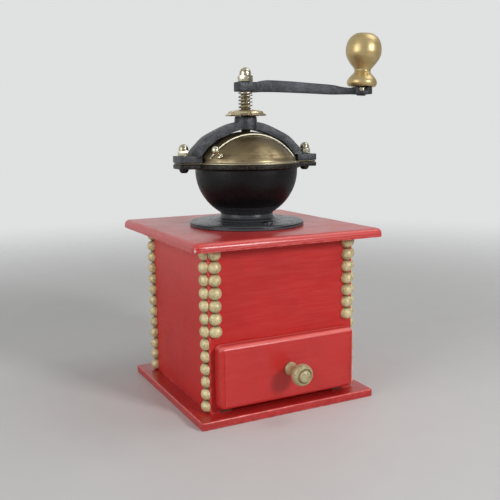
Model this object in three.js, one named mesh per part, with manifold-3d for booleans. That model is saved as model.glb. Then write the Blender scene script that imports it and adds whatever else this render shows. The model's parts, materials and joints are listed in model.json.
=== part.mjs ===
// Hand-cranked box coffee grinder. A painted wooden box with a drawer carries a cast-iron hopper
// with a brass dome cover. A shaft with a conical burr hangs from an adjusting wheel on the bridge
// and is turned by a crank.
// Millimetres, +Z up. The origin is the centre of the base board's underside, the drawer faces -Y.
import * as THREE from 'three';
import { mergeVertices } from 'three/addons/utils/BufferGeometryUtils.js';
import Module from 'manifold-3d';

const wasm = await Module();
wasm.setup();

// Play between pieces that rest on each other or run in each other
const GAP = 0.3;

// Wooden box: base board, four walls, lid board
const BASE = { width: 148, depth: 148, thick: 6, corner: 2.5, edge: 1 };
const BOX = { width: 123, depth: 121, height: 123.5, wall: 8 };
const LID = { width: 157.5, depth: 161, thick: 6.5, corner: 4, edge: 1.8, setBack: 2, hole: 22 };

// Half-round beads glued in strings beside the upright edges of the box
const BEAD = { perString: 13, perFrontString: 7, radius: 4.85, fromEdge: 5 };

// Drawer with an overlaid front, on two runners
const DRAWER = { frontWidth: 115.2, frontHeight: 47.5, frontThick: 9.7, frontLift: 4.6 };
const DRAWER_EDGE = { corner: 2, soft: 1.8 };
const TRAY = { width: 105, depth: 108, height: 40, side: 6, floor: 3, floorLift: 2 };
const RUNNER = { width: 9, height: 4 };
const DRAWER_KNOB = { height: 34.4, reach: 23.6, head: 8.3, neck: 3.5, foot: 5 };
const DRAWER_SCREW = { head: 4, shank: 2, hole: 2.3, length: 20 };

// Hopper casting: sleeve, flange, elliptical bowl, rim and two ears
const HOPPER = { sleeve: 20.5, sleeveDrop: 12, flange: 46.2, flangeThick: 3, neck: 21, wall: 3 };
const BOWL = { halfWidth: 41, halfHeight: 39.6, centreZ: 180, neckTop: 146.2 };
const RIM = { radius: 43.5, bottom: 182.5, top: 185.3 };
const EAR = { reach: 52.1, end: 58, halfWidth: 11.5, corner: 2.2, thick: 3.3, hole: 2.8 };
const EAR_BOLT = { radius: 2.5, head: 3.8, headHeight: 2.9, thread: 5.5 };
const EAR_NUT = { corner: 4.9, hex: 4, dome: 3.8, height: 9, depth: 6.2 };
const FLANGE_SCREWS = { circle: 32.4, first: 273, head: 3.6, shank: 1.6, length: 9.5, slot: 0.9 };

// Everything cast or bolted on the bridge line is turned a little from the box
const MILL_TURN = -5;

// Dome cover: brass sheet on a sphere, open in front of a straight cut
const DOME = { centreZ: 161.7, outer: 48.7, sheet: 0.8, flange: 43, flangeThick: 1, skirtTop: 190 };
const DOME_CUT_Y = -12.8;
const DOME_CROWN = 83.5;
const DOOR = { outer: 47.5, sheet: 0.7, from: 197, to: 343, hub: 10, foot: 37.9, bottom: 188, crown: 84 };
const DOOR_KNOB = { azimuth: 210, elevation: 40, reach: 8.4, ball: 2.1 };

// Bridge over the dome: an arched strap with two flat feet and a boss for the shaft
const BRIDGE = { width: 14, footFrom: 40.6, footTop: 191.9, edge: 0.8 };
const BOSS = { radius: 9.4, topRadius: 8.6, bottom: 211.6, taperFrom: 215.8, top: 222.5 };

// Shaft and conical burrs
const SHAFT = { radius: 4, journal: 3, square: 6.2, thread: 3, bottom: 108.5, top: 253.6 };
const BURR = { top: 143, bottom: 124.3, outer: 16.3, teeth: 20, toothDepth: 1.1 };
const BURR_NUT = { corner: 7.5, height: 4 };
const BEARING = { bottom: 112.5, thick: 3.5, halfWidth: 20.3, gap: 14.2, width: 9 };
const BEARING_SCREW = { at: 18.4, shank: 1.2, head: 2.3, length: 18 };

// Adjusting wheel, spring and washer
const WHEEL = { corner: 14.6, tabTip: 17.4, bottom: 223.2, top: 227.5, sheet: 1.3, collar: 7, turn: 19.5 };
const SPRING = { outer: 5.775, wire: 0.9, turns: 4, bottom: 227.8, top: 239.3 };
const WASHER = { radius: 5.5, bottom: 239.6, thick: 1.5 };

// Crank arm, its nut, and the turned knob on a slightly leaning pin
const CRANK_TURN = 2;
const ARM = { reach: 114.5, bottom: 241.4, top: 248.9, thick: 5, hubHalf: 8, hubWidth: 10 };
const EYE = { outer: 9.3, inner: 5.3, top: 246.9, slitFrom: 200, slitTo: 236 };
const CRANK_NUT = { corner: 6.15, hex: 5, dome: 4.6, height: 11, bore: 3.3, depth: 6.5, turn: 20 };
const KNOB = { lean: 3, height: 44.2, pin: 3, bore: 3.4, lift: 3.4 };

// Levels that follow from the stack of boards
const BOX_BOTTOM = BASE.thick;
const BOX_TOP = BOX_BOTTOM + BOX.height;
const LID_TOP = BOX_TOP + LID.thick;
const FRONT_OPENING_TOP = 56;
const DRAWER_BOTTOM = BOX_BOTTOM + RUNNER.height + GAP;
const FRONT_FACE = -BOX.depth / 2;

const FINISH = {
  redPaint: new THREE.MeshStandardMaterial({ color: 0xb63835, roughness: 0.45, metalness: 0 }),
  rawWood: new THREE.MeshStandardMaterial({ color: 0xc9a878, roughness: 0.75, metalness: 0 }),
  goldPaint: new THREE.MeshStandardMaterial({ color: 0xd3bd8c, roughness: 0.45, metalness: 0.2 }),
  castIron: new THREE.MeshStandardMaterial({ color: 0x232126, roughness: 0.35, metalness: 0.6 }),
  burrSteel: new THREE.MeshStandardMaterial({ color: 0x6d6f70, roughness: 0.4, metalness: 0.9 }),
  steel: new THREE.MeshStandardMaterial({ color: 0xa9a9a6, roughness: 0.3, metalness: 1 }),
  agedBrass: new THREE.MeshStandardMaterial({ color: 0x8d7c55, roughness: 0.25, metalness: 1 }),
  brass: new THREE.MeshStandardMaterial({ color: 0xc9a85e, roughness: 0.25, metalness: 1 }),
};

// A closed geometry as a solid that can be joined and cut
function toSolid(geometry) {
  const bare = geometry.index ? geometry.toNonIndexed() : geometry.clone();
  bare.deleteAttribute('normal');
  bare.deleteAttribute('uv');
  const merged = mergeVertices(bare, 1e-4);
  const vertProperties = merged.attributes.position.array;
  const triVerts = new Uint32Array(merged.index.array);
  return new wasm.Manifold(new wasm.Mesh({ numProp: 3, vertProperties, triVerts }));
}

function toGeometry(solid) {
  const { vertProperties, triVerts } = solid.getMesh();
  const geometry = new THREE.BufferGeometry();
  geometry.setAttribute('position', new THREE.BufferAttribute(vertProperties, 3));
  geometry.setIndex(new THREE.BufferAttribute(triVerts, 1));
  return geometry;
}

function join(...geometries) {
  return toGeometry(geometries.map(toSolid).reduce((a, b) => a.add(b)));
}

function cut(body, ...tools) {
  return toGeometry(tools.map(toSolid).reduce((a, b) => a.subtract(b), toSolid(body)));
}

const radians = THREE.MathUtils.degToRad;

// Points of a circular arc in a profile, from one angle to another, in degrees
function arc(r, z, radius, from, to, steps) {
  return Array.from({ length: steps + 1 }, (_, i) => {
    const angle = radians(from + ((to - from) * i) / steps);
    return [r + radius * Math.cos(angle), z + radius * Math.sin(angle)];
  });
}

// The angle above the horizontal at which a sphere of the dome's centre reaches a height
function domeAngle(radius, z) {
  return THREE.MathUtils.radToDeg(Math.asin((z - DOME.centreZ) / radius));
}

// A profile of [radius, height] pairs turned about Z
function revolve(profile, segments) {
  const points = profile.map(([r, z]) => new THREE.Vector2(r, z));
  if (THREE.ShapeUtils.isClockWise(points)) points.reverse();
  return new THREE.LatheGeometry(points, segments).rotateX(Math.PI / 2);
}

// A ring profile closes on its own first point
function revolveRing(profile, segments) {
  return revolve([...profile, profile[0]], segments);
}

function rod(radius, bottom, top, sides = 12) {
  return revolve([[0, bottom], [radius, bottom], [radius, top], [0, top]], sides);
}

function tube(inner, outer, height) {
  return revolveRing([[inner, 0], [outer, 0], [outer, height], [inner, height]], 20);
}

function hexBar(corner, bottom, top) {
  return rod(corner, bottom, top, 6);
}

function block(x0, x1, y0, y1, z0, z1) {
  const box = new THREE.BoxGeometry(x1 - x0, y1 - y0, z1 - z0);
  return box.translate((x0 + x1) / 2, (y0 + y1) / 2, (z0 + z1) / 2);
}

function extrude(shape, depth, bevel = 0, bevelSegments = 1, curveSegments = 4) {
  const options = { depth: depth - 2 * bevel, curveSegments, bevelEnabled: bevel > 0 };
  Object.assign(options, { bevelThickness: bevel, bevelSize: bevel, bevelOffset: -bevel, bevelSegments });
  return new THREE.ExtrudeGeometry(shape, options).translate(0, 0, bevel);
}

// A flat board with rounded corners in plan and softened edges, centred on X and Y
function board(width, depth, thick, corner, edge) {
  const x = width / 2;
  const y = depth / 2;
  const shape = new THREE.Shape();
  shape.moveTo(-x + corner, -y);
  shape.absarc(x - corner, -y + corner, corner, -Math.PI / 2, 0);
  shape.absarc(x - corner, y - corner, corner, 0, Math.PI / 2);
  shape.absarc(-x + corner, y - corner, corner, Math.PI / 2, Math.PI);
  shape.absarc(-x + corner, -y + corner, corner, Math.PI, 1.5 * Math.PI);
  return extrude(shape, thick, edge, 2, 2);
}

// A pair of flat tongues along +X and -X with rounded corners, as the ears, the lugs and the feet
function tongues(from, end, halfWidth, bottom, top) {
  const shape = new THREE.Shape();
  const { corner } = EAR;
  shape.moveTo(from, -halfWidth);
  shape.absarc(end - corner, -halfWidth + corner, corner, -Math.PI / 2, 0);
  shape.absarc(end - corner, halfWidth - corner, corner, 0, Math.PI / 2);
  shape.lineTo(from, halfWidth);
  const tongue = extrude(shape, top - bottom).translate(0, 0, bottom);
  return [tongue, tongue.clone().rotateZ(Math.PI)];
}

// The bolt holes at both ends of the bridge line, between two levels
function boltHoles(bottom, top) {
  return [1, -1].map((side) => rod(EAR.hole, bottom - 1, top + 1).translate(side * EAR.reach, 0, 0));
}

// A skin over rings of equally many points, closed by a flat cap at both ends
function loft(rings) {
  const count = rings[0].length;
  const positions = rings.flat().flatMap((p) => [p.x, p.y, p.z]);
  const index = [];
  for (let ring = 0; ring < rings.length - 1; ring += 1) {
    for (let i = 0; i < count; i += 1) {
      const a = ring * count + i;
      const b = ring * count + ((i + 1) % count);
      index.push(a, b, b + count, a, b + count, a + count);
    }
  }
  for (const [ring, flip] of [[0, true], [rings.length - 1, false]]) {
    const centre = rings[ring].reduce((sum, p) => sum.add(p), new THREE.Vector3());
    centre.divideScalar(count);
    const hub = positions.length / 3;
    positions.push(centre.x, centre.y, centre.z);
    for (let i = 0; i < count; i += 1) {
      const a = ring * count + i;
      const b = ring * count + ((i + 1) % count);
      index.push(hub, flip ? b : a, flip ? a : b);
    }
  }
  const geometry = new THREE.BufferGeometry();
  geometry.setAttribute('position', new THREE.Float32BufferAttribute(positions, 3));
  geometry.setIndex(index);
  return geometry;
}

// Sawtooth rings for a burr: each row is [z, tip radius], and the teeth lag by twist per millimetre
function toothedCore(rows, teeth, depth, twist) {
  const rise = [0, 0.35, 0.8];
  return loft(rows.map(([z, tip]) => Array.from({ length: teeth * rise.length }, (_, i) => {
    const step = i % rise.length;
    const angle = ((Math.floor(i / rise.length) + rise[step]) * 2 * Math.PI) / teeth;
    const radius = tip - depth * (step === 0 ? 1 : (step - 1) * 0.45);
    const turned = angle + radians(twist * (z - rows[0][0]));
    return new THREE.Vector3(radius * Math.cos(turned), radius * Math.sin(turned), z);
  })));
}

function add(group, name, geometry, material, position = [0, 0, 0], turn = 0) {
  const mesh = new THREE.Mesh(geometry, material);
  mesh.name = name;
  mesh.position.set(...position);
  mesh.rotation.z = radians(turn);
  group.add(mesh);
  return mesh;
}

// A string of half-round beads, flat side on the plane y = 0, bulging towards -Y, from z = 0 up
function beadString(count, height) {
  const pitch = height / count;
  const meet = THREE.MathUtils.radToDeg(Math.asin(pitch / 2 / BEAD.radius));
  const beads = Array.from({ length: count }, (_, i) => {
    const points = arc(0, (i + 0.5) * pitch, BEAD.radius, -meet, meet, 4);
    return i ? points.slice(1) : points;
  });
  const turned = revolve([[0, 0], ...beads.flat(), [0, height]], 8);
  return cut(turned, block(-6, 6, 0, 6, -1, height + 1));
}

function woodenBox() {
  const group = new THREE.Group();
  const { width, depth, height, wall } = BOX;
  const inner = width / 2 - wall;
  const base = board(BASE.width, BASE.depth, BASE.thick, BASE.corner, BASE.edge);
  add(group, 'base_board', base, FINISH.redPaint);

  const lidBlank = board(LID.width, LID.depth, LID.thick, LID.corner, LID.edge);
  const throat = rod(LID.hole, -1, LID.thick + 1, 28).translate(0, -LID.setBack, 0);
  const pilots = screwPlaces().map(([x, y]) => rod(FLANGE_SCREWS.shank + GAP, -1, LID.thick + 1, 8)
    .translate(x, y - LID.setBack, 0));
  add(group, 'top_board', cut(lidBlank, throat, ...pilots), FINISH.redPaint, [0, LID.setBack, BOX_TOP]);

  for (const [name, side] of [['left', -1], ['right', 1]]) {
    const panel = block(-wall / 2, wall / 2, -depth / 2, depth / 2, 0, height);
    add(group, `${name}_panel`, panel, FINISH.redPaint, [side * (inner + wall / 2), 0, BOX_BOTTOM]);
    const half = RUNNER.width / 2;
    const runner = block(-half, half, FRONT_FACE, -FRONT_FACE - wall, 0, RUNNER.height);
    add(group, `${name}_runner`, runner, FINISH.rawWood, [side * (inner - half), 0, BOX_BOTTOM]);
  }
  const back = block(-inner, inner, -wall / 2, wall / 2, 0, height);
  add(group, 'back_panel', back, FINISH.redPaint, [0, depth / 2 - wall / 2, BOX_BOTTOM]);
  const front = block(-inner, inner, -wall / 2, wall / 2, 0, BOX_TOP - FRONT_OPENING_TOP);
  add(group, 'front_panel', front, FINISH.redPaint, [0, FRONT_FACE + wall / 2, FRONT_OPENING_TOP]);

  group.add(beadStrings());
  return group;
}

// Two strings on each face of the box; those in front stop above the drawer
function beadStrings() {
  const group = new THREE.Group();
  const play = 0.1;
  const pitch = BOX.height / BEAD.perString;
  const halfX = BOX.width / 2;
  const halfY = BOX.depth / 2;
  const alongX = halfX - BEAD.fromEdge;
  const alongY = halfY - BEAD.fromEdge;
  const places = [
    ['front_left', [-alongX, -halfY - play], 0, BEAD.perFrontString],
    ['front_right', [alongX, -halfY - play], 0, BEAD.perFrontString],
    ['right_front', [halfX + play, -alongY], 90, BEAD.perString],
    ['right_back', [halfX + play, alongY], 90, BEAD.perString],
    ['back_right', [alongX, halfY + play], 180, BEAD.perString],
    ['back_left', [-alongX, halfY + play], 180, BEAD.perString],
    ['left_back', [-halfX - play, alongY], -90, BEAD.perString],
    ['left_front', [-halfX - play, -alongY], -90, BEAD.perString],
  ];
  for (const [name, [x, y], turn, count] of places) {
    const string = beadString(count, count * pitch - 2 * play);
    add(group, `beads_${name}`, string, FINISH.goldPaint, [x, y, BOX_TOP - count * pitch + play], turn);
  }
  return group;
}

function drawer() {
  const group = new THREE.Group();
  const { width, depth, height, side, floor, floorLift } = TRAY;
  const frontBack = FRONT_FACE - GAP;
  const { frontWidth, frontHeight, frontThick, frontLift } = DRAWER;
  const frontBoard = board(frontWidth, frontHeight, frontThick, DRAWER_EDGE.corner, DRAWER_EDGE.soft);
  const frontCentre = BOX_BOTTOM + frontLift + frontHeight / 2;
  const bore = DRAWER_SCREW.hole;
  const hole = rod(bore, -1, frontThick + 1).translate(0, DRAWER_KNOB.height - frontCentre, 0);
  const front = cut(frontBoard, hole).rotateX(Math.PI / 2);
  add(group, 'drawer_front', front, FINISH.redPaint, [0, frontBack, frontCentre]);

  for (const [name, hand] of [['left', -1], ['right', 1]]) {
    const panel = block(-side / 2, side / 2, frontBack, frontBack + depth, 0, height);
    const x = hand * (width / 2 - side / 2);
    add(group, `drawer_${name}_side`, panel, FINISH.rawWood, [x, 0, DRAWER_BOTTOM]);
  }
  const inner = width / 2 - side;
  const back = block(-inner, inner, frontBack + depth - side, frontBack + depth, 0, height);
  add(group, 'drawer_back', back, FINISH.rawWood, [0, 0, DRAWER_BOTTOM]);
  const bottom = block(-inner, inner, frontBack, frontBack + depth - side, floorLift, floorLift + floor);
  add(group, 'drawer_bottom', bottom, FINISH.rawWood, [0, 0, DRAWER_BOTTOM]);

  const { reach, head, neck, foot } = DRAWER_KNOB;
  const knob = revolve([
    [0, 12], [bore, 12], [bore, GAP], [foot, GAP], [foot, 1.6], [neck + 0.4, 2.8],
    [neck, 8], [neck + 1.2, 11.5], [head - 1.1, 14], [head, 16.5], [head - 0.3, 19], [head - 1.8, 21],
    [5.3, 21.6], [5.3, 22.6], [4.5, reach], [0, reach],
  ], 18).rotateX(Math.PI / 2);
  add(group, 'drawer_knob', knob, FINISH.goldPaint, [0, frontBack - frontThick, DRAWER_KNOB.height]);

  const { head: screwHead, shank, length } = DRAWER_SCREW;
  const screw = revolve([
    [0, -2.4], [screwHead - 1.2, -2.4], [screwHead, -1.2], [screwHead, -GAP],
    [shank, -GAP], [shank, length], [0, length],
  ], 16).rotateX(Math.PI / 2);
  add(group, 'drawer_knob_screw', screw, FINISH.steel, [0, frontBack, DRAWER_KNOB.height]);
  return group;
}

// Where the three flange screws stand, in plan
function screwPlaces() {
  return [0, 120, 240].map((step) => {
    const angle = radians(FLANGE_SCREWS.first + step);
    return [FLANGE_SCREWS.circle * Math.cos(angle), FLANGE_SCREWS.circle * Math.sin(angle)];
  });
}

// An arc of the bowl's ellipse, thinned by the wall, between two heights
function bowlArc(inset, fromZ, toZ, steps) {
  const wide = BOWL.halfWidth - inset;
  const tall = BOWL.halfHeight - inset;
  const angleAt = (z) => Math.asin((z - BOWL.centreZ) / tall);
  return Array.from({ length: steps + 1 }, (_, i) => {
    const angle = angleAt(fromZ) + ((angleAt(toZ) - angleAt(fromZ)) * i) / steps;
    return [wide * Math.cos(angle), BOWL.centreZ + tall * Math.sin(angle)];
  });
}

function hopperBowl() {
  const { sleeve, sleeveDrop, flange, flangeThick, neck, wall } = HOPPER;
  const bottom = LID_TOP - sleeveDrop;
  const seat = BURR.outer + GAP;
  const flangeTop = LID_TOP + flangeThick;
  const profile = [
    [seat, bottom], [sleeve, bottom], [sleeve, LID_TOP], [flange, LID_TOP],
    ...arc(flange - 0.8, flangeTop - 0.8, 0.8, 0, 90, 1),
    ...arc(neck + 4, flangeTop + 4, 4, 270, 180, 3),
    ...bowlArc(0, BOWL.neckTop, BOWL.centreZ, 7),
    [BOWL.halfWidth, RIM.bottom - 1], [RIM.radius, RIM.bottom], [RIM.radius, RIM.top],
    [BOWL.halfWidth - wall, RIM.top],
    ...bowlArc(wall, BOWL.centreZ, BOWL.neckTop + wall, 5),
    [seat - 2, BURR.top + 3], [seat - 2, BURR.top + GAP], [seat, BURR.top + GAP],
  ];
  const casting = revolveRing(profile, 32);
  const earBottom = RIM.top - EAR.thick;
  const ears = tongues(BOWL.halfWidth - wall / 2, EAR.end, EAR.halfWidth, earBottom, RIM.top);
  const screwHoles = screwPlaces().map(([x, y]) => rod(2, LID_TOP - 1, flangeTop + 1, 12)
    .translate(x, y, 0).rotateZ(radians(-MILL_TURN)));
  const tapped = [1, -1].map((side) => rod(BEARING_SCREW.shank + GAP, bottom - 1, bottom + 8, 10)
    .translate(side * BEARING_SCREW.at, 0, 0));
  return cut(join(casting, ...ears), ...boltHoles(earBottom, RIM.top), ...screwHoles, ...tapped);
}

function domeCover() {
  const { centreZ, outer, sheet, flange, flangeThick, skirtTop } = DOME;
  const inner = outer - sheet;
  const bottom = RIM.top + GAP;
  const skirt = outer * Math.cos(radians(domeAngle(outer, skirtTop)));
  const profile = [
    [skirt - sheet - 0.1, bottom], [flange, bottom], [flange, bottom + flangeThick],
    [skirt + 0.4, bottom + flangeThick], [skirt, bottom + flangeThick + 0.4],
    ...arc(0, centreZ, outer, domeAngle(outer, skirtTop), DOME_CROWN, 6),
    ...arc(0, centreZ, inner, DOME_CROWN, domeAngle(inner, skirtTop), 6),
  ];
  const shell = revolveRing(profile, 32);
  const front = block(-60, 60, -60, DOME_CUT_Y, skirtTop + 0.2, centreZ + outer + 1)
    .rotateZ(radians(-MILL_TURN));
  const top = bottom + flangeThick;
  const lugs = tongues(BRIDGE.footFrom, EAR.end - 0.5, EAR.halfWidth - 0.6, bottom, top);
  return cut(join(cut(shell, front), ...lugs), ...boltHoles(bottom, top));
}

// Where the door's knob stands: a frame with its Z axis square to the dome
function doorKnobFrame() {
  const frame = new THREE.Group();
  const azimuth = radians(DOOR_KNOB.azimuth);
  const elevation = radians(DOOR_KNOB.elevation);
  const level = DOOR.outer * Math.cos(elevation);
  const height = DOME.centreZ + DOOR.outer * Math.sin(elevation);
  frame.position.set(level * Math.cos(azimuth), level * Math.sin(azimuth), height);
  frame.rotation.set(0, Math.PI / 2 - elevation, azimuth, 'ZYX');
  frame.updateMatrix();
  return frame;
}

function coverDoor() {
  const { outer, sheet, from, to, hub, foot, bottom, crown } = DOOR;
  const inner = outer - sheet;
  const profile = [
    [foot - sheet, bottom], [foot, bottom],
    ...arc(0, DOME.centreZ, outer, domeAngle(outer, bottom + 2.6), crown, 6),
    ...arc(0, DOME.centreZ, inner, crown, domeAngle(inner, bottom + 2.3), 6),
  ];
  const dome = revolveRing(profile, 32);
  const away = new THREE.Shape();
  away.absarc(0, 0, 60, radians(to), radians(from + 360));
  away.absarc(0, 0, hub, radians(from + 360), radians(to), true);
  const sector = extrude(away, 40, 0, 1, 14).translate(0, 0, bottom - 5);
  const rivetHole = rod(1.4, -3, 3, 12).applyMatrix4(doorKnobFrame().matrix);
  return cut(dome, sector, rivetHole);
}

function coverKnob() {
  const { reach, ball } = DOOR_KNOB;
  const inside = -DOOR.sheet - GAP;
  return revolve([
    [0, inside - 0.8], [1.8, inside - 0.8], [1.9, inside], [1.1, inside], [1.1, GAP], [1.8, GAP],
    [1.8, 0.9], [1.1, 1.6], [0.9, 4], [1.1, reach - ball + 0.2],
    ...arc(0, reach, ball, -55, 90, 5),
  ], 10);
}

// Arched faces of the strap, from the foot to the boss, as [x, z]
function bridgeCurves(footBottom) {
  const under = [
    [42, footBottom], [39.6, 191.7], [38, 193.8], [34, 198.3], [30, 201.8], [25, 204.7],
    [19, 207.2], [14, 209.4], [7.5, 211.4],
  ];
  const over = [
    [47, footBottom], [46.8, 191.9], [46.2, 193.5], [44.8, 196.8], [41.2, 200.4], [37, 204.6],
    [32.5, 207.8], [24, 212], [18.5, 214.5], [13.3, 216.4], [8, 217.6],
  ];
  const smooth = (places, steps) => new THREE.SplineCurve(places.map(([x, z]) => new THREE.Vector2(x, z)))
    .getPoints(steps);
  return [smooth(under, 10), smooth(over, 12)];
}

function bridge() {
  const { width, footFrom, footTop, edge } = BRIDGE;
  const { radius, topRadius, bottom, taperFrom, top } = BOSS;
  const footBottom = RIM.top + DOME.flangeThick + 2 * GAP;
  const [under, over] = bridgeCurves(footBottom);
  const mirrored = (points) => points.map((p) => new THREE.Vector2(-p.x, p.y)).reverse();
  const outline = [...under, ...mirrored(under), ...mirrored(over).reverse(), ...[...over].reverse()];
  const strap = extrude(new THREE.Shape(outline), width, edge);
  const arch = strap.rotateX(Math.PI / 2).translate(0, width / 2, 0);
  const feet = tongues(footFrom, EAR.end, EAR.halfWidth, footBottom, footTop);
  const hub = revolve([
    [0, bottom], [radius - edge, bottom], [radius, bottom + edge], [radius, taperFrom],
    [topRadius, top - 1.2], [topRadius - 1, top], [0, top],
  ], 24);
  const bore = rod(SHAFT.radius + GAP, bottom - 1, top + 1, 20);
  return cut(join(arch, ...feet, hub), bore, ...boltHoles(footBottom, footTop));
}

// A domed hexagon nut standing on z = 0, with a blind bore from below
function capNut({ corner, hex, dome, height, bore, depth }) {
  const crown = revolve([
    [0, hex - 1], [dome, hex - 1], [dome, height - dome],
    ...arc(0, height - dome, dome, 0, 90, 4).slice(1),
  ], 12);
  const bevel = revolve([
    [0, -1], [corner + 2, -1], [corner + 2, hex - 1.4], [dome, hex], [0, hex],
  ], 12);
  const foot = toGeometry(toSolid(hexBar(corner, 0, hex)).intersect(toSolid(bevel)));
  return cut(join(foot, crown), rod(bore, -1, depth, 10));
}

// The bolts that hold bridge, dome cover and hopper together at both ears
function earBolts() {
  const group = new THREE.Group();
  const nutBottom = BRIDGE.footTop + GAP;
  const headTop = RIM.top - EAR.thick - GAP;
  const { radius, head, headHeight, thread } = EAR_BOLT;
  for (const [name, side, turn] of [['left', -1, 8], ['right', 1, -10]]) {
    const bolt = revolve([
      [0, headTop - headHeight], [head - 1.7, headTop - headHeight], [head - 0.5, headTop - 1.6],
      [head, headTop - 0.6], [head, headTop], [radius, headTop], [radius, nutBottom + thread],
      [0, nutBottom + thread],
    ], 14);
    add(group, `ear_bolt_${name}`, bolt, FINISH.steel, [side * EAR.reach, 0, 0]);
    const nut = capNut({ ...EAR_NUT, bore: EAR.hole });
    add(group, `ear_nut_${name}`, nut, FINISH.steel, [side * EAR.reach, 0, nutBottom], turn);
  }
  return group;
}

function outerBurr() {
  const { top, bottom, outer, teeth, toothDepth } = BURR;
  const ring = rod(outer, bottom, top, 32);
  const hollow = toothedCore([
    [bottom - 1, 15.1], [129, 13.2], [134, 11.6], [138.5, 12.9], [top + 1, 14.9],
  ], teeth, toothDepth, 1.6);
  return cut(ring, hollow);
}

// The turning burr: fine teeth on the lower cone, six helical breaker flutes above
function innerBurr() {
  const { bottom, teeth } = BURR;
  const base = bottom - 0.7;
  const cone = toothedCore([[base, 12.6], [129, 10.9], [134.5, 9.2]], teeth, 0.9, -1.6);
  const breaker = toothedCore([
    [base + 1, 8], [134, 9], [138, 8.4], [142, 7.8], [146, 7.1], [150, 6.2],
  ], 6, 1.8, -9);
  return cut(join(cone, breaker), rod(SHAFT.radius + GAP, base - 1, 152, 16));
}

// A bearing bar under the burrs steadies the lower end of the shaft
function lowerBearing() {
  const group = new THREE.Group();
  const { bottom, thick, halfWidth, gap, width } = BEARING;
  const { at, shank, head, length } = BEARING_SCREW;
  const top = LID_TOP - HOPPER.sleeveDrop - GAP;
  const outline = [
    [-halfWidth, bottom], [halfWidth, bottom], [halfWidth, top], [gap, top],
    [gap, bottom + thick], [-gap, bottom + thick], [-gap, top], [-halfWidth, top],
  ].map(([x, z]) => new THREE.Vector2(x, z));
  const stirrup = extrude(new THREE.Shape(outline), width, 0.5);
  const bar = stirrup.rotateX(Math.PI / 2).translate(0, width / 2, 0);
  const bore = rod(SHAFT.journal + GAP, bottom - 1, bottom + thick + 1);
  const holes = [1, -1].map((side) => rod(shank + GAP, bottom - 1, top + 1, 10).translate(side * at, 0, 0));
  add(group, 'lower_bearing_bar', cut(bar, bore, ...holes), FINISH.castIron);
  for (const [name, side] of [['left', -1], ['right', 1]]) {
    const headed = join(rod(head, -2, 0), rod(shank, -1, length, 10));
    add(group, `bearing_screw_${name}`, headed, FINISH.steel, [side * at, 0, bottom - GAP]);
  }
  return group;
}

function flangeScrews() {
  const group = new THREE.Group();
  const { head, shank, length, slot } = FLANGE_SCREWS;
  const seat = LID_TOP + HOPPER.flangeThick + GAP;
  screwPlaces().forEach(([x, y], i) => {
    const domed = revolve([
      [0, -length], [shank - 0.8, -length], [shank, -length + 2], [shank, 0], [head, 0],
      [head, 0.7], [head - 0.8, 1.6], [head - 2, 2.2], [0, 2.4],
    ], 12);
    const groove = block(-5, 5, -slot / 2, slot / 2, 1.3, 4);
    add(group, `flange_screw_${i + 1}`, cut(domed, groove), FINISH.steel, [x, y, seat], 40 + 35 * i);
  });
  return group;
}

// A hexagon of sheet metal whose six tabs are bent down and flare outwards like claws
function adjustingWheel() {
  const { corner, tabTip, bottom, top, sheet, collar } = WHEEL;
  const hexRing = (radius, z) => Array.from({ length: 6 }, (_, i) => {
    const angle = (i * Math.PI) / 3;
    return new THREE.Vector3(radius * Math.cos(angle), radius * Math.sin(angle), z);
  });
  const flare = [[tabTip, bottom], [tabTip - 0.5, bottom + 1.1], [corner + 0.8, bottom + 2.2]];
  const skin = loft([...flare, [corner, top - 0.9], [corner - 0.9, top]].map(([r, z]) => hexRing(r, z)));
  const hollow = loft([
    [tabTip - sheet, bottom - 0.1], ...flare.map(([r, z]) => [r - sheet, z]).slice(1),
    [corner - sheet, top - sheet],
  ].map(([r, z]) => hexRing(r, z)));
  const slits = Array.from({ length: 6 }, (_, i) => block(8, 19, -0.7, 0.7, bottom - 1, bottom + 2.6)
    .rotateZ((i * Math.PI) / 3));
  const neck = rod(collar, BOSS.top + GAP, top - sheet / 2, 24);
  const bore = rod(SHAFT.radius + GAP, BOSS.top, top + 1, 20);
  return cut(join(cut(skin, hollow, ...slits), neck), bore);
}

// The centre line of the spring: straight up for one wire, four curls, straight up again
function springPath() {
  const { outer, wire, turns, bottom, top } = SPRING;
  const radius = outer - wire / 2;
  const steps = 8 * turns;
  const curls = Array.from({ length: steps + 1 }, (_, i) => {
    const angle = (2 * Math.PI * i) / 8;
    const z = bottom + wire + ((top - bottom - 2 * wire) * i) / steps;
    return new THREE.Vector3(radius * Math.cos(angle), radius * Math.sin(angle), z);
  });
  const start = curls[0].clone().setZ(bottom);
  const end = curls[steps].clone().setZ(top);
  return [start, ...curls, end];
}

// One unbroken wire of five sides along the path, and its least gap to itself
function spring() {
  const sides = 5;
  const path = springPath();
  const up = new THREE.Vector3(0, 0, 1);
  const rings = path.map((point, i) => {
    const before = path[Math.max(i - 1, 0)];
    const after = path[Math.min(i + 1, path.length - 1)];
    const along = after.clone().sub(before).normalize();
    const outward = new THREE.Vector3(point.x, point.y, 0).normalize();
    const across = along.clone().cross(outward).normalize();
    const side = Math.abs(along.dot(up)) > 0.999 ? outward : across.clone().cross(along).normalize();
    return Array.from({ length: sides }, (_, k) => {
      const angle = (2 * Math.PI * k) / sides;
      return point.clone()
        .addScaledVector(side, (SPRING.wire / 2) * Math.cos(angle))
        .addScaledVector(across, (SPRING.wire / 2) * -Math.sin(angle));
    });
  });
  let least = Infinity;
  rings.forEach((ring, i) => rings.slice(i + 5).forEach((other) => {
    ring.forEach((p) => other.forEach((q) => { least = Math.min(least, p.distanceTo(q)); }));
  }));
  console.log(`spring: least gap between its curls ${least.toFixed(2)} mm`);
  return loft(rings.map((ring) => [...ring].reverse()));
}

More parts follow.
